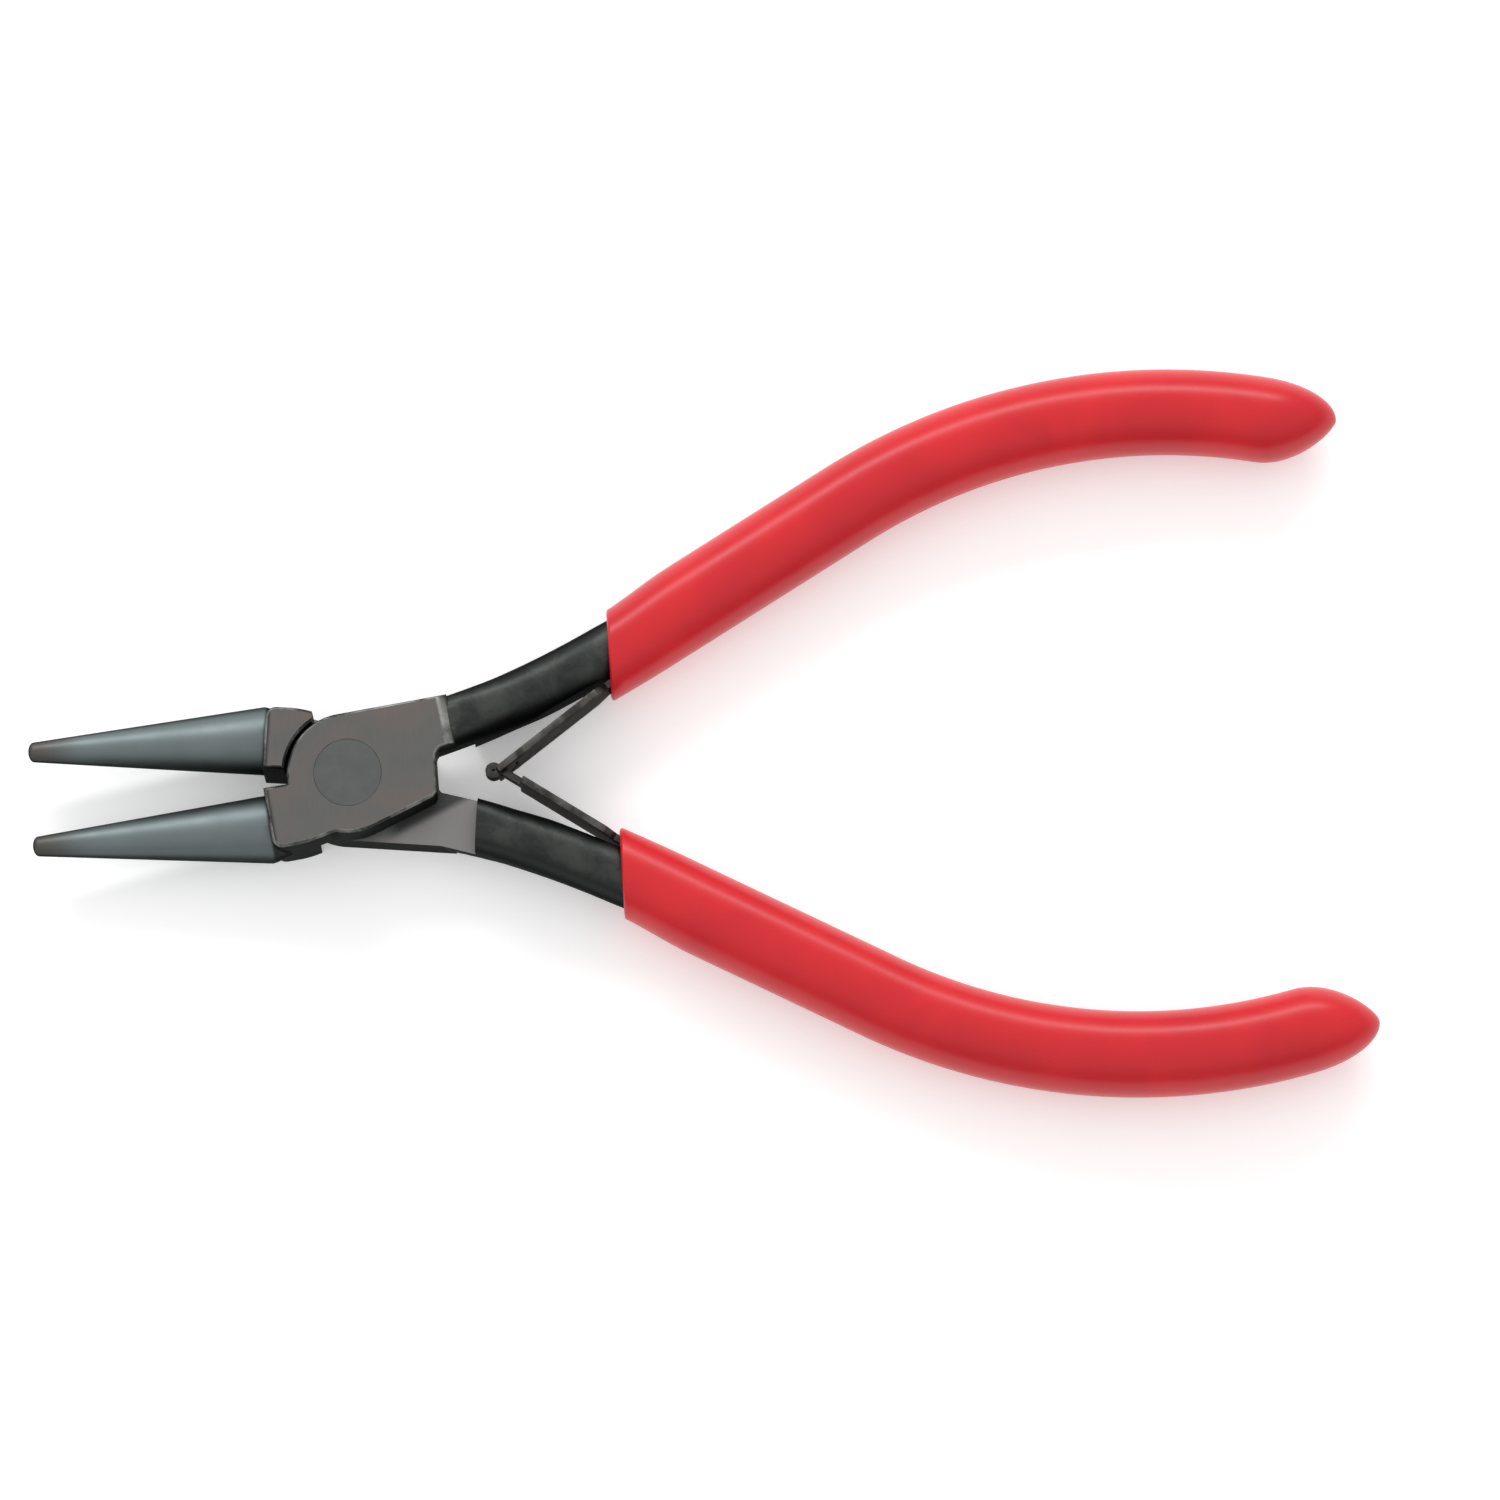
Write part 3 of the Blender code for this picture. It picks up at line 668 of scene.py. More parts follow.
@dataclass(frozen=True)
class HandleLine:
    """Centre line of a handle: a slight bend outward, a straight, then a long bend back in."""

    start: tuple[float, float] = (8.96 * MM, 3.07 * MM)
    start_heading: float = radians(10.0)
    straight_heading: float = radians(22.6)
    end_heading: float = radians(-27.0)
    outward_radius: float = 90.0 * MM
    straight_length: float = 19.2 * MM
    inward_radius: float = 50.0 * MM

    @property
    def pieces(self) -> list[tuple[float, Optional[float]]]:
        """Length and signed radius of each stretch."""
        outward = self.outward_radius * (self.straight_heading - self.start_heading)
        inward = self.inward_radius * (self.straight_heading - self.end_heading)
        return [(outward, self.outward_radius), (self.straight_length, None), (inward, -self.inward_radius)]

    @property
    def length(self) -> float:
        """Length of the whole line."""
        return sum(length for length, _ in self.pieces)

    def at(self, distance: float) -> tuple[Vector, float]:
        """Point and heading at a distance from the start.

        Args:
            distance: along the line; below 0 it runs straight back.

        Returns:
            The point and the heading.
        """
        point, heading = Vector(self.start), self.start_heading
        if distance < 0:
            return point + Vector((cos(heading), sin(heading))) * distance, heading
        for length, radius in self.pieces:
            step = min(distance, length)
            if radius is None:
                point += Vector((cos(heading), sin(heading))) * step
            else:
                turned_to = heading + step / radius
                point += Vector((sin(turned_to) - sin(heading), cos(heading) - cos(turned_to))) * radius
                heading = turned_to
            distance -= step
        return point, heading


def handle_ring(surface: bmesh.types.BMesh, centre: Vector, heading: float, facing: float, outer: float,
                inner: float, half_height: float, squareness: float, inner_squareness: float, sides: int,
                ahead: float = 0.0) -> list[bmesh.types.BMVert]:
    """One rounded section of a handle.

    Args:
        surface: the bmesh that it is made in.
        centre: its centre in plan.
        heading: direction of the handle there.
        facing: direction that the section's plane faces.
        outer: reach to the handle's left, square to it.
        inner: reach to its right.
        half_height: reach up and down.
        squareness: 2 for an ellipse, more for squarer, on the outer side.
        inner_squareness: the same on the inner side.
        sides: number of vertices.
        ahead: shift along the facing direction.

    Returns:
        The ring's vertices in order.
    """
    across = Vector((-sin(facing), cos(facing), 0)) / cos(heading - facing)
    middle = centre.to_3d() + across * (outer - inner) / 2
    middle += Vector((cos(facing), sin(facing), 0)) * ahead
    reach = (outer + inner) / 2
    ring = bmesh.ops.create_circle(surface, segments=sides, radius=1.0)["verts"]
    for vert in ring:
        c, s = vert.co.x, vert.co.y
        power = 2 / (squareness if c > 0 else inner_squareness)
        side = abs(c) ** power * (1 if c > 0 else -1)
        rise = abs(s) ** power * (1 if s > 0 else -1)
        vert.co = middle + across * reach * side + Vector((0, 0, half_height * rise))
    return ring


@dataclass(frozen=True)
class TangForm:
    """Sections of the steel tang along the handle, bare and inside the grip."""

    line: HandleLine = HandleLine()
    places: tuple[float, ...] = in_mm(-3.0, 1.0, 5.0, 10.0, 15.0, 22.0, 75.5, 78.0)
    widths: tuple[float, ...] = in_mm(4.45, 4.45, 4.50, 4.75, 4.95, 4.70, 3.90, 2.20)
    heights: tuple[float, ...] = in_mm(7.6, 7.45, 6.8, 5.9, 5.35, 5.1, 4.2, 2.4)
    squarenesses: tuple[float, ...] = (4.6, 3.6, 2.7, 2.4, 2.4, 2.5, 2.4, 2.2)
    inner_squarenesses: tuple[float, ...] = (5.0, 3.6, 2.5, 2.15, 2.15, 2.4, 2.4, 2.2)
    sides: int = 72
    fine_step: float = 0.8 * MM
    fine_end: float = 18.0 * MM
    coarse_step: float = 4.0 * MM

    def at(self, place: float) -> tuple[float, float, float, float]:
        """Width, height and the squareness of both sides at a place along the handle.

        Args:
            place: along the handle's line.

        Returns:
            The four values, eased between the sections that are given.
        """
        tables = (self.widths, self.heights, self.squarenesses, self.inner_squarenesses)
        for i, (low, high) in enumerate(zip(self.places, self.places[1:])):
            if place <= high:
                share = max(0.0, (place - low) / (high - low))
                return tuple(table[i] + (table[i + 1] - table[i]) * share for table in tables)
        return tuple(table[-1] for table in tables)

    def solid(self) -> bmesh.types.BMesh:
        """The whole tang as a closed solid in the closed drawing of a half."""
        surface = bmesh.new()
        places, place = [], self.places[0]
        while place < self.places[-1]:
            places.append(place)
            place += self.fine_step if place < self.fine_end else self.coarse_step
        places += [self.places[-2], self.places[-1]]
        rings = []
        for place in sorted(set(places)):
            width, height, squareness, inner_squareness = self.at(place)
            point, heading = self.line.at(place)
            rings.append(handle_ring(surface, point, heading, heading, width / 2, width / 2, height / 2,
                                     squareness, inner_squareness, self.sides))
        skinned(surface, rings)
        return surface


# ---- steel halves

@dataclass
class SteelHalf:
    """One forging: jaw, joint plate and tang."""

    tool: ToolFrame
    side: Side
    tang: TangForm = TangForm()
    face_gap: float = 0.05 * MM
    jaw_base: float = -7.2 * MM
    jaw_tip_radius: float = 0.85 * MM
    jaw_base_radius: float = 2.90 * MM
    jaw_root: float = 1.6 * MM
    block_outer: float = -5.3 * MM
    block_end: float = -4.4 * MM
    notch_angle: float = radians(-111)
    disc_radius: float = 5.1 * MM
    swing_angle: float = radians(-73)
    swing_corner: float = 7.1 * MM
    plate_corner: float = 7.6 * MM
    plate_end: float = 9.3 * MM
    lap_start: float = -3.3 * MM
    lap_end: float = 11.0 * MM
    lap_gap: float = 0.05 * MM
    disc_gap: float = 0.26 * MM
    rim: float = 0.26 * MM
    run_out: float = 1.1 * MM
    plate_inside: float = 0.12 * MM
    plate_below: float = 0.3 * MM
    corner_radii: tuple[float, ...] = in_mm(0.9, 0.8, 0.5, 0.45, 0.6)
    root_steps: tuple[tuple[float, float], ...] = ((0.985, 0.12), (0.95, 0.32), (0.88, 0.65), (0.80, 1.0),
                                                   (0.0, 1.0))

    def outline(self) -> tuple[list[tuple[float, float]], dict[int, float]]:
        """Plan of the joint plate and the jaw block, anticlockwise from the jaw's inner corner.

        Returns:
            The points, and the radius of the corners that are rounded.
        """
        start_y = self.tang.line.start[1]
        half_width = self.tang.at(0.0)[0] / 2 - self.plate_inside
        edge_x, edge_y = arc(self.disc_radius, self.swing_angle, self.swing_angle, 1)[0]
        slope = tan(self.swing_angle + pi / 2)
        corner = (self.swing_corner, edge_y + (self.swing_corner - edge_x) * slope)
        meet = pi + asin(self.face_gap / self.disc_radius)
        front = [(self.jaw_base, -self.face_gap), (self.jaw_base, self.block_outer),
                 (self.block_end, self.block_outer)]
        low_arc = arc(self.disc_radius, self.notch_angle, self.swing_angle, 20)
        right = [corner, (self.plate_corner, start_y - half_width - self.plate_below),
                 (self.plate_end, start_y - half_width), (self.plate_end, start_y + half_width)]
        high_arc = arc(self.disc_radius, pi / 2, meet, 40)
        points = front + low_arc + right + high_arc
        after_arc = len(front) + len(low_arc)
        rounded = (1, 2, 3, after_arc, after_arc + 1)
        return points, dict(zip(rounded, self.corner_radii))

    def head(self) -> bpy.types.Object:
        """The ground head, its rims broken, with a wider slope at the tang."""
        points, rounding = self.outline()
        half = self.tool.half_thickness
        surface = outline_plate(points, rounding, -half, half)
        weights = surface.edges.layers.float.new("bevel_weight_edge")
        for edge in surface.edges:
            middle = (edge.verts[0].co + edge.verts[1].co) / 2
            if abs(middle.z) < half - 0.01 * MM:
                continue
            at_tang = abs(middle.x - self.plate_end) < 0.01 * MM
            edge[weights] = 1.0 if at_tang else self.rim / self.run_out
        item = new_object("half_head_" + self.side.value, surface)
        bevel = item.modifiers.new("broken_edges", "BEVEL")
        bevel.limit_method = "WEIGHT"
        bevel.width = self.run_out
        bevel.segments = 4
        bevel.use_clamp_overlap = False
        return applied(item)

    def jaw(self) -> bpy.types.Object:
        """The tapering round jaw, turned on an axis that slants to the closed tool's middle."""
        length = self.tool.jaw_reach + self.jaw_base
        tilt = atan2(self.jaw_base_radius - self.jaw_tip_radius, length)
        axis_length = length / cos(tilt)
        tip_depth = 0.6 * self.jaw_tip_radius
        turns = [pi / 2 * i / 8 for i in range(9)]
        tip = [(self.jaw_tip_radius * sin(t), axis_length - tip_depth * (1 - cos(t))) for t in turns]
        barrel = [(self.jaw_tip_radius + (self.jaw_base_radius - self.jaw_tip_radius) * i / 16,
                   (axis_length - tip_depth) * (1 - i / 16)) for i in range(1, 17)]
        root = [(self.jaw_base_radius * share, -self.jaw_root * depth) for share, depth in self.root_steps]
        surface = turned_solid(tip + barrel + root, 96)
        base_y = -self.face_gap - self.jaw_base_radius / cos(tilt)
        stand = Matrix.Translation((self.jaw_base, base_y, 0)) @ Matrix.Rotation(-tilt, 4, "Z")
        bmesh.ops.transform(surface, verts=surface.verts, matrix=stand @ Matrix.Rotation(-pi / 2, 4, "Y"))
        return new_object("half_jaw_" + self.side.value, surface)

    def lap_cutters(self) -> list[bpy.types.Object]:
        """Solids that clear the other half's plate, with a broken edge at the back face."""
        half = self.tool.half_thickness
        radius = self.disc_radius + self.disc_gap
        top, deep = self.lap_gap, -half - 2 * MM
        flare = self.rim * 0.8
        profile = [(0, top), (radius, top), (radius, flare - half), (radius + flare, -half),
                   (radius + flare, deep), (0, deep)]
        disc = new_object("lap_disc", turned_solid(profile, 128))
        size = (self.lap_end - self.lap_start, 4 * self.disc_radius, top - deep)
        middle = Matrix.Translation(((self.lap_end + self.lap_start) / 2, 0, (top + deep) / 2))
        return [disc, new_object("lap_slab", block_solid(size, middle))]

    def rivet_hole(self, rivet: "PivotRivet") -> bpy.types.Object:
        """The countersunk hole, a hair wider than the rivet.

        Args:
            rivet: the rivet that it takes.

        Returns:
            The hole as a solid.
        """
        beyond = 1.0 * MM
        half = self.tool.half_thickness
        body = rivet.outline(self.tool, growth=0.01 * MM)
        wide = body[1][0]
        profile = [(0, half + beyond), (wide, half + beyond)] + body[1:-1]
        profile += [(wide, -half - beyond), (0, -half - beyond)]
        return new_object("rivet_hole", turned_solid(profile, 96))

    def build(self, rivet: "PivotRivet", leaf: "LeafSpring") -> bpy.types.Object:
        """Models the half and puts it in its place.

        Args:
            rivet: the pivot rivet, for its hole.
            leaf: this side's leaf spring, for the flat under its foot.

        Returns:
            The finished half.
        """
        half = self.head()
        half.name = self.side.value + "_steel_half"
        combine(half, [self.jaw(), new_object("half_tang", self.tang.solid())], "UNION")
        combine(half, self.lap_cutters() + [self.rivet_hole(rivet), leaf.flat_cutter()], "DIFFERENCE")
        half.data.transform(self.tool.placed(self.side))
        return shaded(half)

    def dress(self, item: bpy.types.Object, steel: bpy.types.Material) -> None:
        """Gives the half its finish, its body and the node that it stands for."""
        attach(item, self.side.value)
        stand_in(item, steel, self.side.value + "_half")


@dataclass
class PivotRivet:
    """The joint rivet, headed in countersinks and ground flush on both faces."""

    radius: float = 2.0 * MM
    head_radius: float = 2.86 * MM
    head_depth: float = 0.9 * MM
    broken_edge: float = 0.035 * MM

    def outline(self, tool: ToolFrame, growth: float = 0.0) -> list[tuple[float, float]]:
        """Profile from the upper face to the lower.

        Args:
            tool: the tool's frame.
            growth: added to the radii.

        Returns:
            (radius, height) points about the pivot's middle.
        """
        half, shaft, head = tool.half_thickness, self.radius + growth, self.head_radius + growth
        upper = [(0.0, half), (head, half), (shaft, half - self.head_depth)]
        return upper + [(r, -h) for r, h in reversed(upper)]

    def build(self, tool: ToolFrame) -> bpy.types.Object:
        """Models the rivet in its place."""
        half, edge = tool.half_thickness, self.broken_edge
        crown = [(self.head_radius * share, half - edge * 0.35 * share ** 2)
                 for share in (0.0, 0.35, 0.65, 0.85)]
        rim = [(self.head_radius - edge, half - edge * 0.3), (self.head_radius, half - edge * 1.3)]
        upper = crown + rim + [(self.radius, half - self.head_depth)]
        surface = turned_solid(upper + [(r, -h) for r, h in reversed(upper)], 96)
        bmesh.ops.translate(surface, verts=surface.verts, vec=tool.pivot)
        return shaded(new_object("joint_rivet", surface))

    def dress(self, item: bpy.types.Object, steel: bpy.types.Material) -> None:
        """Gives the rivet its finish, its body and the node that it stands for."""
        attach(item, Side.FRONT.value)
        stand_in(item, steel, "pivot_rivet")


# ---- grips

@dataclass
class Grip:
    """A dipped sleeve: a thin slanted mouth, a nearly round body and a rounded, closed end."""

    tool: ToolFrame
    side: Side
    tang: TangForm = TangForm()
    width: float = 7.25 * MM
    height: float = 7.5 * MM
    squareness: float = 2.1
    mouth: float = 15.3 * MM
    mouth_outer_wall: float = 0.80 * MM
    mouth_inner_wall: float = 1.25 * MM
    mouth_taper: float = 8.0 * MM
    end_length: float = 6.2 * MM
    end_wall: float = 3.4 * MM
    end_point: float = 0.62
    end_lift: float = 1.2 * MM
    end_short: float = 0.5 * MM
    fit: float = 0.03 * MM
    foot_room: float = 0.6 * MM
    foot_room_end: float = 24.0 * MM
    lip: float = 0.28 * MM
    sides: int = 96
    step: float = 0.75 * MM
    bore_steps: int = 40
    lip_steps: int = 8
    end_steps: int = 18

    def _facing(self, place: float, heading: float) -> float:
        """Direction that the section faces: along the open tool at the mouth, the handle further on."""
        share = min(1.0, max(0.0, (place - self.mouth) / self.mouth_taper))
        return heading + (-self.tool.half_opening - heading) * (1 - share)

    def _outside(self, place: float) -> tuple[float, float, float]:
        """Outer and inner reach and half height of the sleeve's outside at a place."""
        width, height, _, _ = self.tang.at(place)
        full = sin(pi / 2 * min(1.0, (place - self.mouth) / self.mouth_taper))
        outer = (width / 2 + self.mouth_outer_wall) * (1 - full) + self.width / 2 * full
        inner = (width / 2 + self.mouth_inner_wall) * (1 - full) + self.width / 2 * full
        rise = (height / 2 + self.mouth_outer_wall) * (1 - full) + self.height / 2 * full
        shoulder = self.tang.line.length - self.end_short - self.end_length
        if place > shoulder:
            share = (place - shoulder) / self.end_length
            shrink, lift = max(0.0, 1 - share ** 2) ** self.end_point, self.end_lift * share ** 2
            return outer * shrink + lift, inner * shrink - lift, rise * shrink
        return outer, inner, rise

    def _inside(self, place: float) -> tuple[float, float, float, float, float]:
        """Reaches, half height and squareness of the sleeve's inside at a place."""
        width, height, squareness, inner_squareness = self.tang.at(place)
        room = self.foot_room * min(1.0, max(0.0, (self.foot_room_end - place) / (2 * MM)))
        half = width / 2 + self.fit
        return half, half + room, height / 2 + self.fit, squareness, inner_squareness

    def build(self) -> bpy.types.Object:
        """Models the sleeve from the bottom of its bore, round the lip and on to its end."""
        surface = bmesh.new()
        line, rings = self.tang.line, []
        bore_end = line.length - self.end_wall
        for i in range(self.bore_steps + 1):
            place = bore_end + (self.mouth - bore_end) * i / self.bore_steps
            point, heading = line.at(place)
            rings.append(handle_ring(surface, point, heading, self._facing(place, heading),
                                     *self._inside(place), self.sides))
        point, heading = line.at(self.mouth)
        inside = self._inside(self.mouth)
        outside = (*self._outside(self.mouth), self.squareness, self.squareness)
        for i in range(1, self.lip_steps):
            turn = pi * i / self.lip_steps
            mixed = [a + (b - a) * (1 - cos(turn)) / 2 for a, b in zip(inside, outside)]
            rings.append(handle_ring(surface, point, heading, -self.tool.half_opening, *mixed, self.sides,
                                     ahead=-self.lip * sin(turn)))
        end = line.length - self.end_short
        shoulder = end - self.end_length
        body_steps = int((shoulder - self.mouth) / self.step)
        places = [self.mouth + (shoulder - self.mouth) * i / body_steps for i in range(body_steps + 1)]
        places += [shoulder + self.end_length * sin(pi / 2 * i / self.end_steps)
                   for i in range(1, self.end_steps)]
        places.append(end - 0.002 * MM)
        for place in places:
            point, heading = line.at(place)
            rings.append(handle_ring(surface, point, heading, self._facing(place, heading),
                                     *self._outside(place), self.squareness, self.squareness,
                                     self.sides))
        skinned(surface, rings)
        bmesh.ops.transform(surface, verts=surface.verts, matrix=self.tool.placed(self.side))
        item = new_object(self.side.value + "_dipped_grip", surface)
        item.data.shade_smooth()
        return item

    def dress(self, item: bpy.types.Object, vinyl: bpy.types.Material) -> None:
        """Gives the grip its finish, its body and the node that it stands for."""
        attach(item, self.side.value)
        stand_in(item, vinyl, self.side.value + "_grip")


# ---- leaf springs

@dataclass
class LeafSpring:
    """One leaf of the return spring: the front one ends in a fork, the back one in a rolled tongue."""

    tool: ToolFrame
    side: Side
    line: HandleLine = HandleLine()
    place: float = 14.5 * MM
    tang_width: float = 4.93 * MM
    thickness: float = 0.6 * MM
    width: float = 5.0 * MM
    foot: float = 8.0 * MM
    foot_width: float = 3.4 * MM
    foot_start: float = -1.5 * MM
    flat_depth: float = 0.5 * MM
    crossing: float = 12.9 * MM
    bend: float = 1.6 * MM
    fork_width: float = 1.9 * MM
    fork_before: float = 1.5 * MM
    fork_after: float = 0.4 * MM
    tongue_width: float = 1.45 * MM
    tongue_before: float = 2.0 * MM
    roll_after: float = 0.55 * MM
    roll_radius: float = 0.40 * MM
    roll_turn: float = radians(290)
    edge: float = 0.09 * MM
    widening: float = 0.9 * MM
    steps: tuple[int, ...] = (10, 14, 8, 6, 26)
    flexing: float = 2.5
    hole_radius: float = 0.8 * MM
    flat_before: float = 9.0 * MM
    flat_after: float = 10.0 * MM

    @property
    def root(self) -> Vector:
        """Where the leaf leaves its tang, in the closed drawing."""
        return self.tool.leaf_root()

    @property
    def along(self) -> Vector:
        """Direction of the foot, away from the joint."""
        heading = self.line.at(self.place)[1]
        return Vector((cos(heading), sin(heading)))

    @property
    def reach(self) -> Vector:
        """From the root to the crossing with the other leaf."""
        turn = Matrix.Rotation(-self.tool.half_opening, 2)
        return turn @ Vector((self.crossing, 0)) - self.root

    def flat_cutter(self) -> bpy.types.Object:
        """The flat that is filed on the tang under the leaf's foot, as a solid to cut away."""
        point, heading = self.line.at(self.place)
        inward = Vector((sin(heading), -cos(heading)))
        depth = 4 * self.flat_depth
        middle = point + inward * (self.tang_width / 2 - self.flat_depth + depth / 2)
        middle += self.along * (self.flat_after - self.flat_before) / 2
        place = Matrix.Translation(middle.to_3d()) @ Matrix.Rotation(heading, 4, "Z")
        size = (self.flat_before + self.flat_after, depth, 4 * self.tool.half_thickness)
        return new_object("leaf_flat", block_solid(size, place))

    def _route(self) -> tuple[list[Vector], int, int]:
        """Centre line from the foot's end to the free end, from the root.

        Returns:
            The points, and the rows where the fork or the tongue starts and ends.
        """
        toward = self.reach.normalized()
        length = self.reach.length
        foot_steps, blade_steps, bend_steps, end_steps, roll_steps = self.steps
        route = [self.along * (self.foot + (self.bend - self.foot) * i / foot_steps)
                 for i in range(foot_steps + 1)]
        for i in range(1, bend_steps):
            share = i / bend_steps
            route.append(self.along * self.bend * (1 - share) ** 2 + toward * self.bend * share ** 2)
        forked = self.side is Side.FRONT
        opening_at = length - (self.fork_before if forked else self.tongue_before)
        route += [toward * (self.bend + (opening_at - self.bend) * i / blade_steps)
                  for i in range(blade_steps + 1)]
        first = len(route) - 1
        opening_end = length + (self.fork_after if forked else self.roll_after)
        route += [toward * (opening_at + (opening_end - opening_at) * i / end_steps)
                  for i in range(1, end_steps + 1)]
        if not forked:
            inside = Vector((toward.y, -toward.x))
            centre = route[-1] + inside * self.roll_radius
            for i in range(1, roll_steps + 1):
                turn = self.roll_turn * i / roll_steps
                offset = toward * sin(turn) - inside * cos(turn)
                route.append(centre + offset * self.roll_radius)
        return route, first, len(route) - 1

    def _widening(self, place: Vector) -> float:
        """Share of the blade's full width at a point: the foot is narrower.

        Args:
            place: a point of the route, from the root.

        Returns:
            The share, up to 1 on the blade.
        """
        narrow = self.foot_width / self.width
        past = self.foot_start + self.widening / 3 - place.dot(self.along)
        share = min(1.0, max(0.0, past / self.widening))
        return narrow + (1 - narrow) * share * share * (3 - 2 * share)

    def build(self) -> bpy.types.Object:
        """Models the leaf as a bent strip with softened edges."""
        route, first, last = self._route()
        opening = self.fork_width if self.side is Side.FRONT else self.tongue_width
        columns = [-self.width / 2, -(self.width + opening) / 4, -opening / 2, 0.0]
        columns += [-z for z in reversed(columns[:-1])]
        rows = len(route) - 1
        surface = bmesh.new()
        made = bmesh.ops.create_grid(surface, x_segments=rows, y_segments=len(columns) - 1, size=1.0)
        cells = {}
        for vert in made["verts"]:
            row = round((vert.co.x + 1) / 2 * rows)
            column = round((vert.co.y + 1) / 2 * (len(columns) - 1))
            cells[vert] = (row, column)
            height = columns[column] * self._widening(route[row])
            vert.co = (route[row] + self.root).to_3d() + Vector((0, 0, height))
        gone = []
        for face in surface.faces:
            row = min(cells[vert][0] for vert in face.verts)
            column = min(cells[vert][1] for vert in face.verts)
            middle = 2 <= column < 4
            if first <= row < last and middle == (self.side is Side.FRONT):
                gone.append(face)
        bmesh.ops.delete(surface, geom=gone, context="FACES")
        item = new_object(self.side.value + "_spring_leaf", surface, outward=False)
        thicken = item.modifiers.new("thickness", "SOLIDIFY")
        thicken.thickness = self.thickness
        thicken.offset = 0.0
        thicken.use_even_offset = True
        soften = item.modifiers.new("softened", "BEVEL")
        soften.width = self.edge
        soften.segments = 2
        soften.limit_method = "ANGLE"
        soften.angle_limit = radians(40)
        applied(item)
        combine(item, [self._rivet_hole()], "DIFFERENCE")
        item.data.transform(self.tool.placed(self.side))
        return shaded(item)

    def _rivet_hole(self) -> bpy.types.Object:
        """The hole in the foot that its rivet passes through."""
        low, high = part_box(self.side.value + "_spring_rivet")
        middle = self.tool.placed(self.side).inverted() @ ((low + high) / 2)
        heading = self.line.at(self.place)[1]
        radius, reach = self.hole_radius, 6.0 * MM
        surface = turned_solid([(0, reach), (radius, reach), (radius, -reach), (0, -reach)], 32)
        lie = Matrix.Translation(middle) @ Matrix.Rotation(heading, 4, "Z") @ Matrix.Rotation(pi / 2, 4, "X")
        bmesh.ops.transform(surface, verts=surface.verts, matrix=lie)
        return new_object("leaf_hole", surface)

    def dress(self, item: bpy.types.Object, steel: bpy.types.Material) -> None:
        """Gives the leaf its finish and the node that it stands for."""
        placed = self.tool.placed(self.side)
        start = placed @ (self.root + self.along * self.bend).to_3d()
        end = placed @ (self.root + self.reach.normalized() * self.flexing * self.bend).to_3d()
        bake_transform(item)
        stand_in(item, steel, self.side.value + "_leaf_spring")


# ---- stage

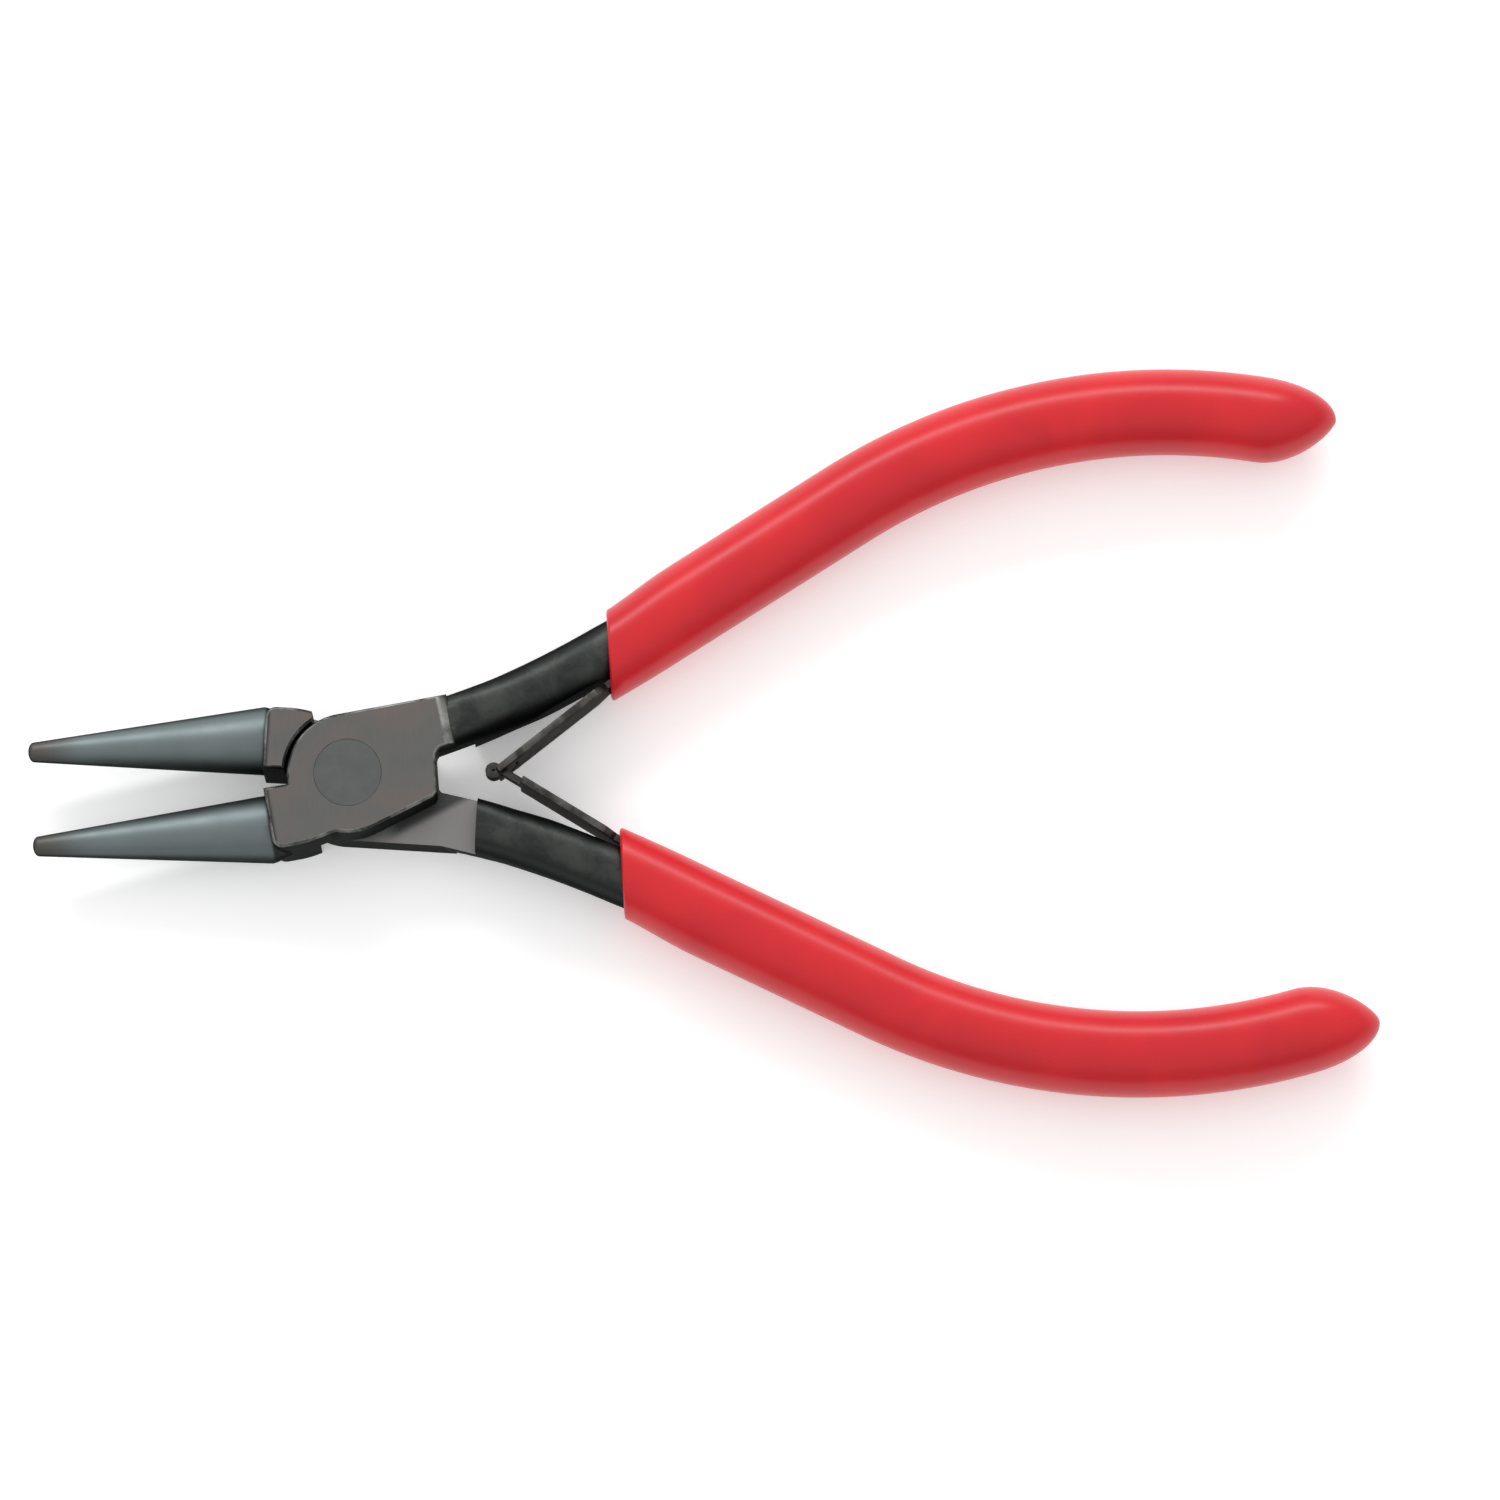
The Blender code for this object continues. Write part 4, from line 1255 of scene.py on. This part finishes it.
@dataclass
class Studio:
    """Pale floor, soft light from the far side and a camera nearly overhead."""

    tool: ToolFrame
    elevation: float = radians(80.0)
    roll: float = radians(3.53)
    frame_width: float = 126.6 * MM
    aim_right: float = 33.81 * MM
    aim_up: float = 2.57 * MM
    distance: float = 0.9
    sensor: float = 36.0
    floor_drop: float = 0.02 * MM
    key_place: Vector = field(default_factory=lambda: Vector((-0.05, 0.60, 0.44)))
    key_aim: float = 30.0 * MM
    key_size: tuple[float, float] = (0.9, 0.10)
    key_power: float = 3.0
    surround: tuple[float, ...] = (-0.42, 0.76, 0.12, 0.97)
    bright_side: Vector = field(default_factory=lambda: Vector((0.0, 0.20, 0.98)))

    def floor(self) -> None:
        """A plain pale floor under the tool."""
        surface = bmesh.new()
        bmesh.ops.create_grid(surface, x_segments=1, y_segments=1, size=3.0)
        floor = new_object("studio_floor", surface)
        floor.location = (0, 0, -self.floor_drop)
        shader = Shader("studio_floor", Roughness=0.9, Emission_Color=(1.0, 1.0, 1.0, 1.0),
                        Emission_Strength=0.25)
        tint = shader.noise(shader.place(), 3.0)
        shader.feed("Base Color", shader.blended(tint, (0.90, 0.90, 0.90), (0.92, 0.92, 0.92)))
        assign(floor, shader.material)

    def key_light(self) -> None:
        """A long soft light from the far side, aimed at the tool."""
        lamp = bpy.data.lights.new("key_softbox", "AREA")
        lamp.shape = "RECTANGLE"
        lamp.size, lamp.size_y = self.key_size
        lamp.energy = self.key_power
        item = bpy.data.objects.new("key_softbox", lamp)
        bpy.context.scene.collection.objects.link(item)
        item.location = self.tool.pivot + Vector((self.key_aim, 0, 0)) + self.key_place
        item.rotation_euler = (-self.key_place).to_track_quat("-Z", "Y").to_euler()

    def surroundings(self) -> None:
        """A pale surround that dims towards the near side."""
        world = bpy.data.worlds.new("studio")
        bpy.context.scene.world = world
        world.use_nodes = True
        tree = world.node_tree
        background = tree.nodes["Background"]
        background.inputs["Color"].default_value = (1.0, 1.0, 1.0, 1.0)
        direction = tree.nodes.new("ShaderNodeTexCoord")
        towards = tree.nodes.new("ShaderNodeVectorMath")
        towards.operation = "DOT_PRODUCT"
        towards.inputs[1].default_value = self.bright_side
        fade = tree.nodes.new("ShaderNodeMapRange")
        fade.interpolation_type = "SMOOTHSTEP"
        for label, value in zip(("From Min", "From Max", "To Min", "To Max"), self.surround):
            fade.inputs[label].default_value = value
        tree.links.new(direction.outputs["Generated"], towards.inputs[0])
        tree.links.new(towards.outputs["Value"], fade.inputs["Value"])
        tree.links.new(fade.outputs[0], background.inputs["Strength"])

    def camera(self) -> None:
        """A long lens nearly overhead, with the tool's axis a little off level."""
        right = Vector((cos(self.roll), -sin(self.roll), 0))
        up = Vector((sin(self.roll), cos(self.roll), 0))
        aim = self.tool.pivot + right * self.aim_right + up * self.aim_up / sin(self.elevation)
        back = Vector((0, 0, sin(self.elevation))) - up * cos(self.elevation)
        lens = bpy.data.cameras.new("studio_camera")
        lens.sensor_width = self.sensor
        lens.lens = self.sensor * self.distance / self.frame_width
        lens.clip_end = 20.0
        item = bpy.data.objects.new("studio_camera", lens)
        bpy.context.scene.collection.objects.link(item)
        turn = Matrix((right, back.cross(right), back)).transposed()
        item.matrix_world = Matrix.Translation(aim + back * self.distance) @ turn.to_4x4()
        bpy.context.scene.camera = item

    def build(self) -> None:
        """Sets the whole stage up."""
        self.camera()
        self.floor()
        self.key_light()
        self.surroundings()
        bpy.context.scene.view_settings.view_transform = "Standard"


# ---- assembly

def main() -> None:
    """Builds every piece in order and reports it."""
    logging.basicConfig(level=logging.INFO, format="%(name)s: %(message)s")
    tool = ToolFrame()
    Studio(tool).build()
    forged = ForgedSteel().material(tool)
    riveted = RivetSteel().material()
    spring = SpringSteel().material()
    vinyl = DippedVinyl().material()

    rivet = PivotRivet()
    rivet.dress(rivet.build(tool), riveted)
    for side in Side:
        leaf = LeafSpring(tool, side)
        half, grip = SteelHalf(tool, side), Grip(tool, side)
        for piece, made, finish in ((half, half.build(rivet, leaf), forged), (grip, grip.build(), vinyl),
                                    (leaf, leaf.build(), spring)):
            piece.dress(made, finish)
            LOG.info("%s: %d faces", made.name, len(made.data.polygons))
        assign(frame["nodes"][side.value + "_spring_rivet"], riveted)


if __name__ == "__main__":
    main()
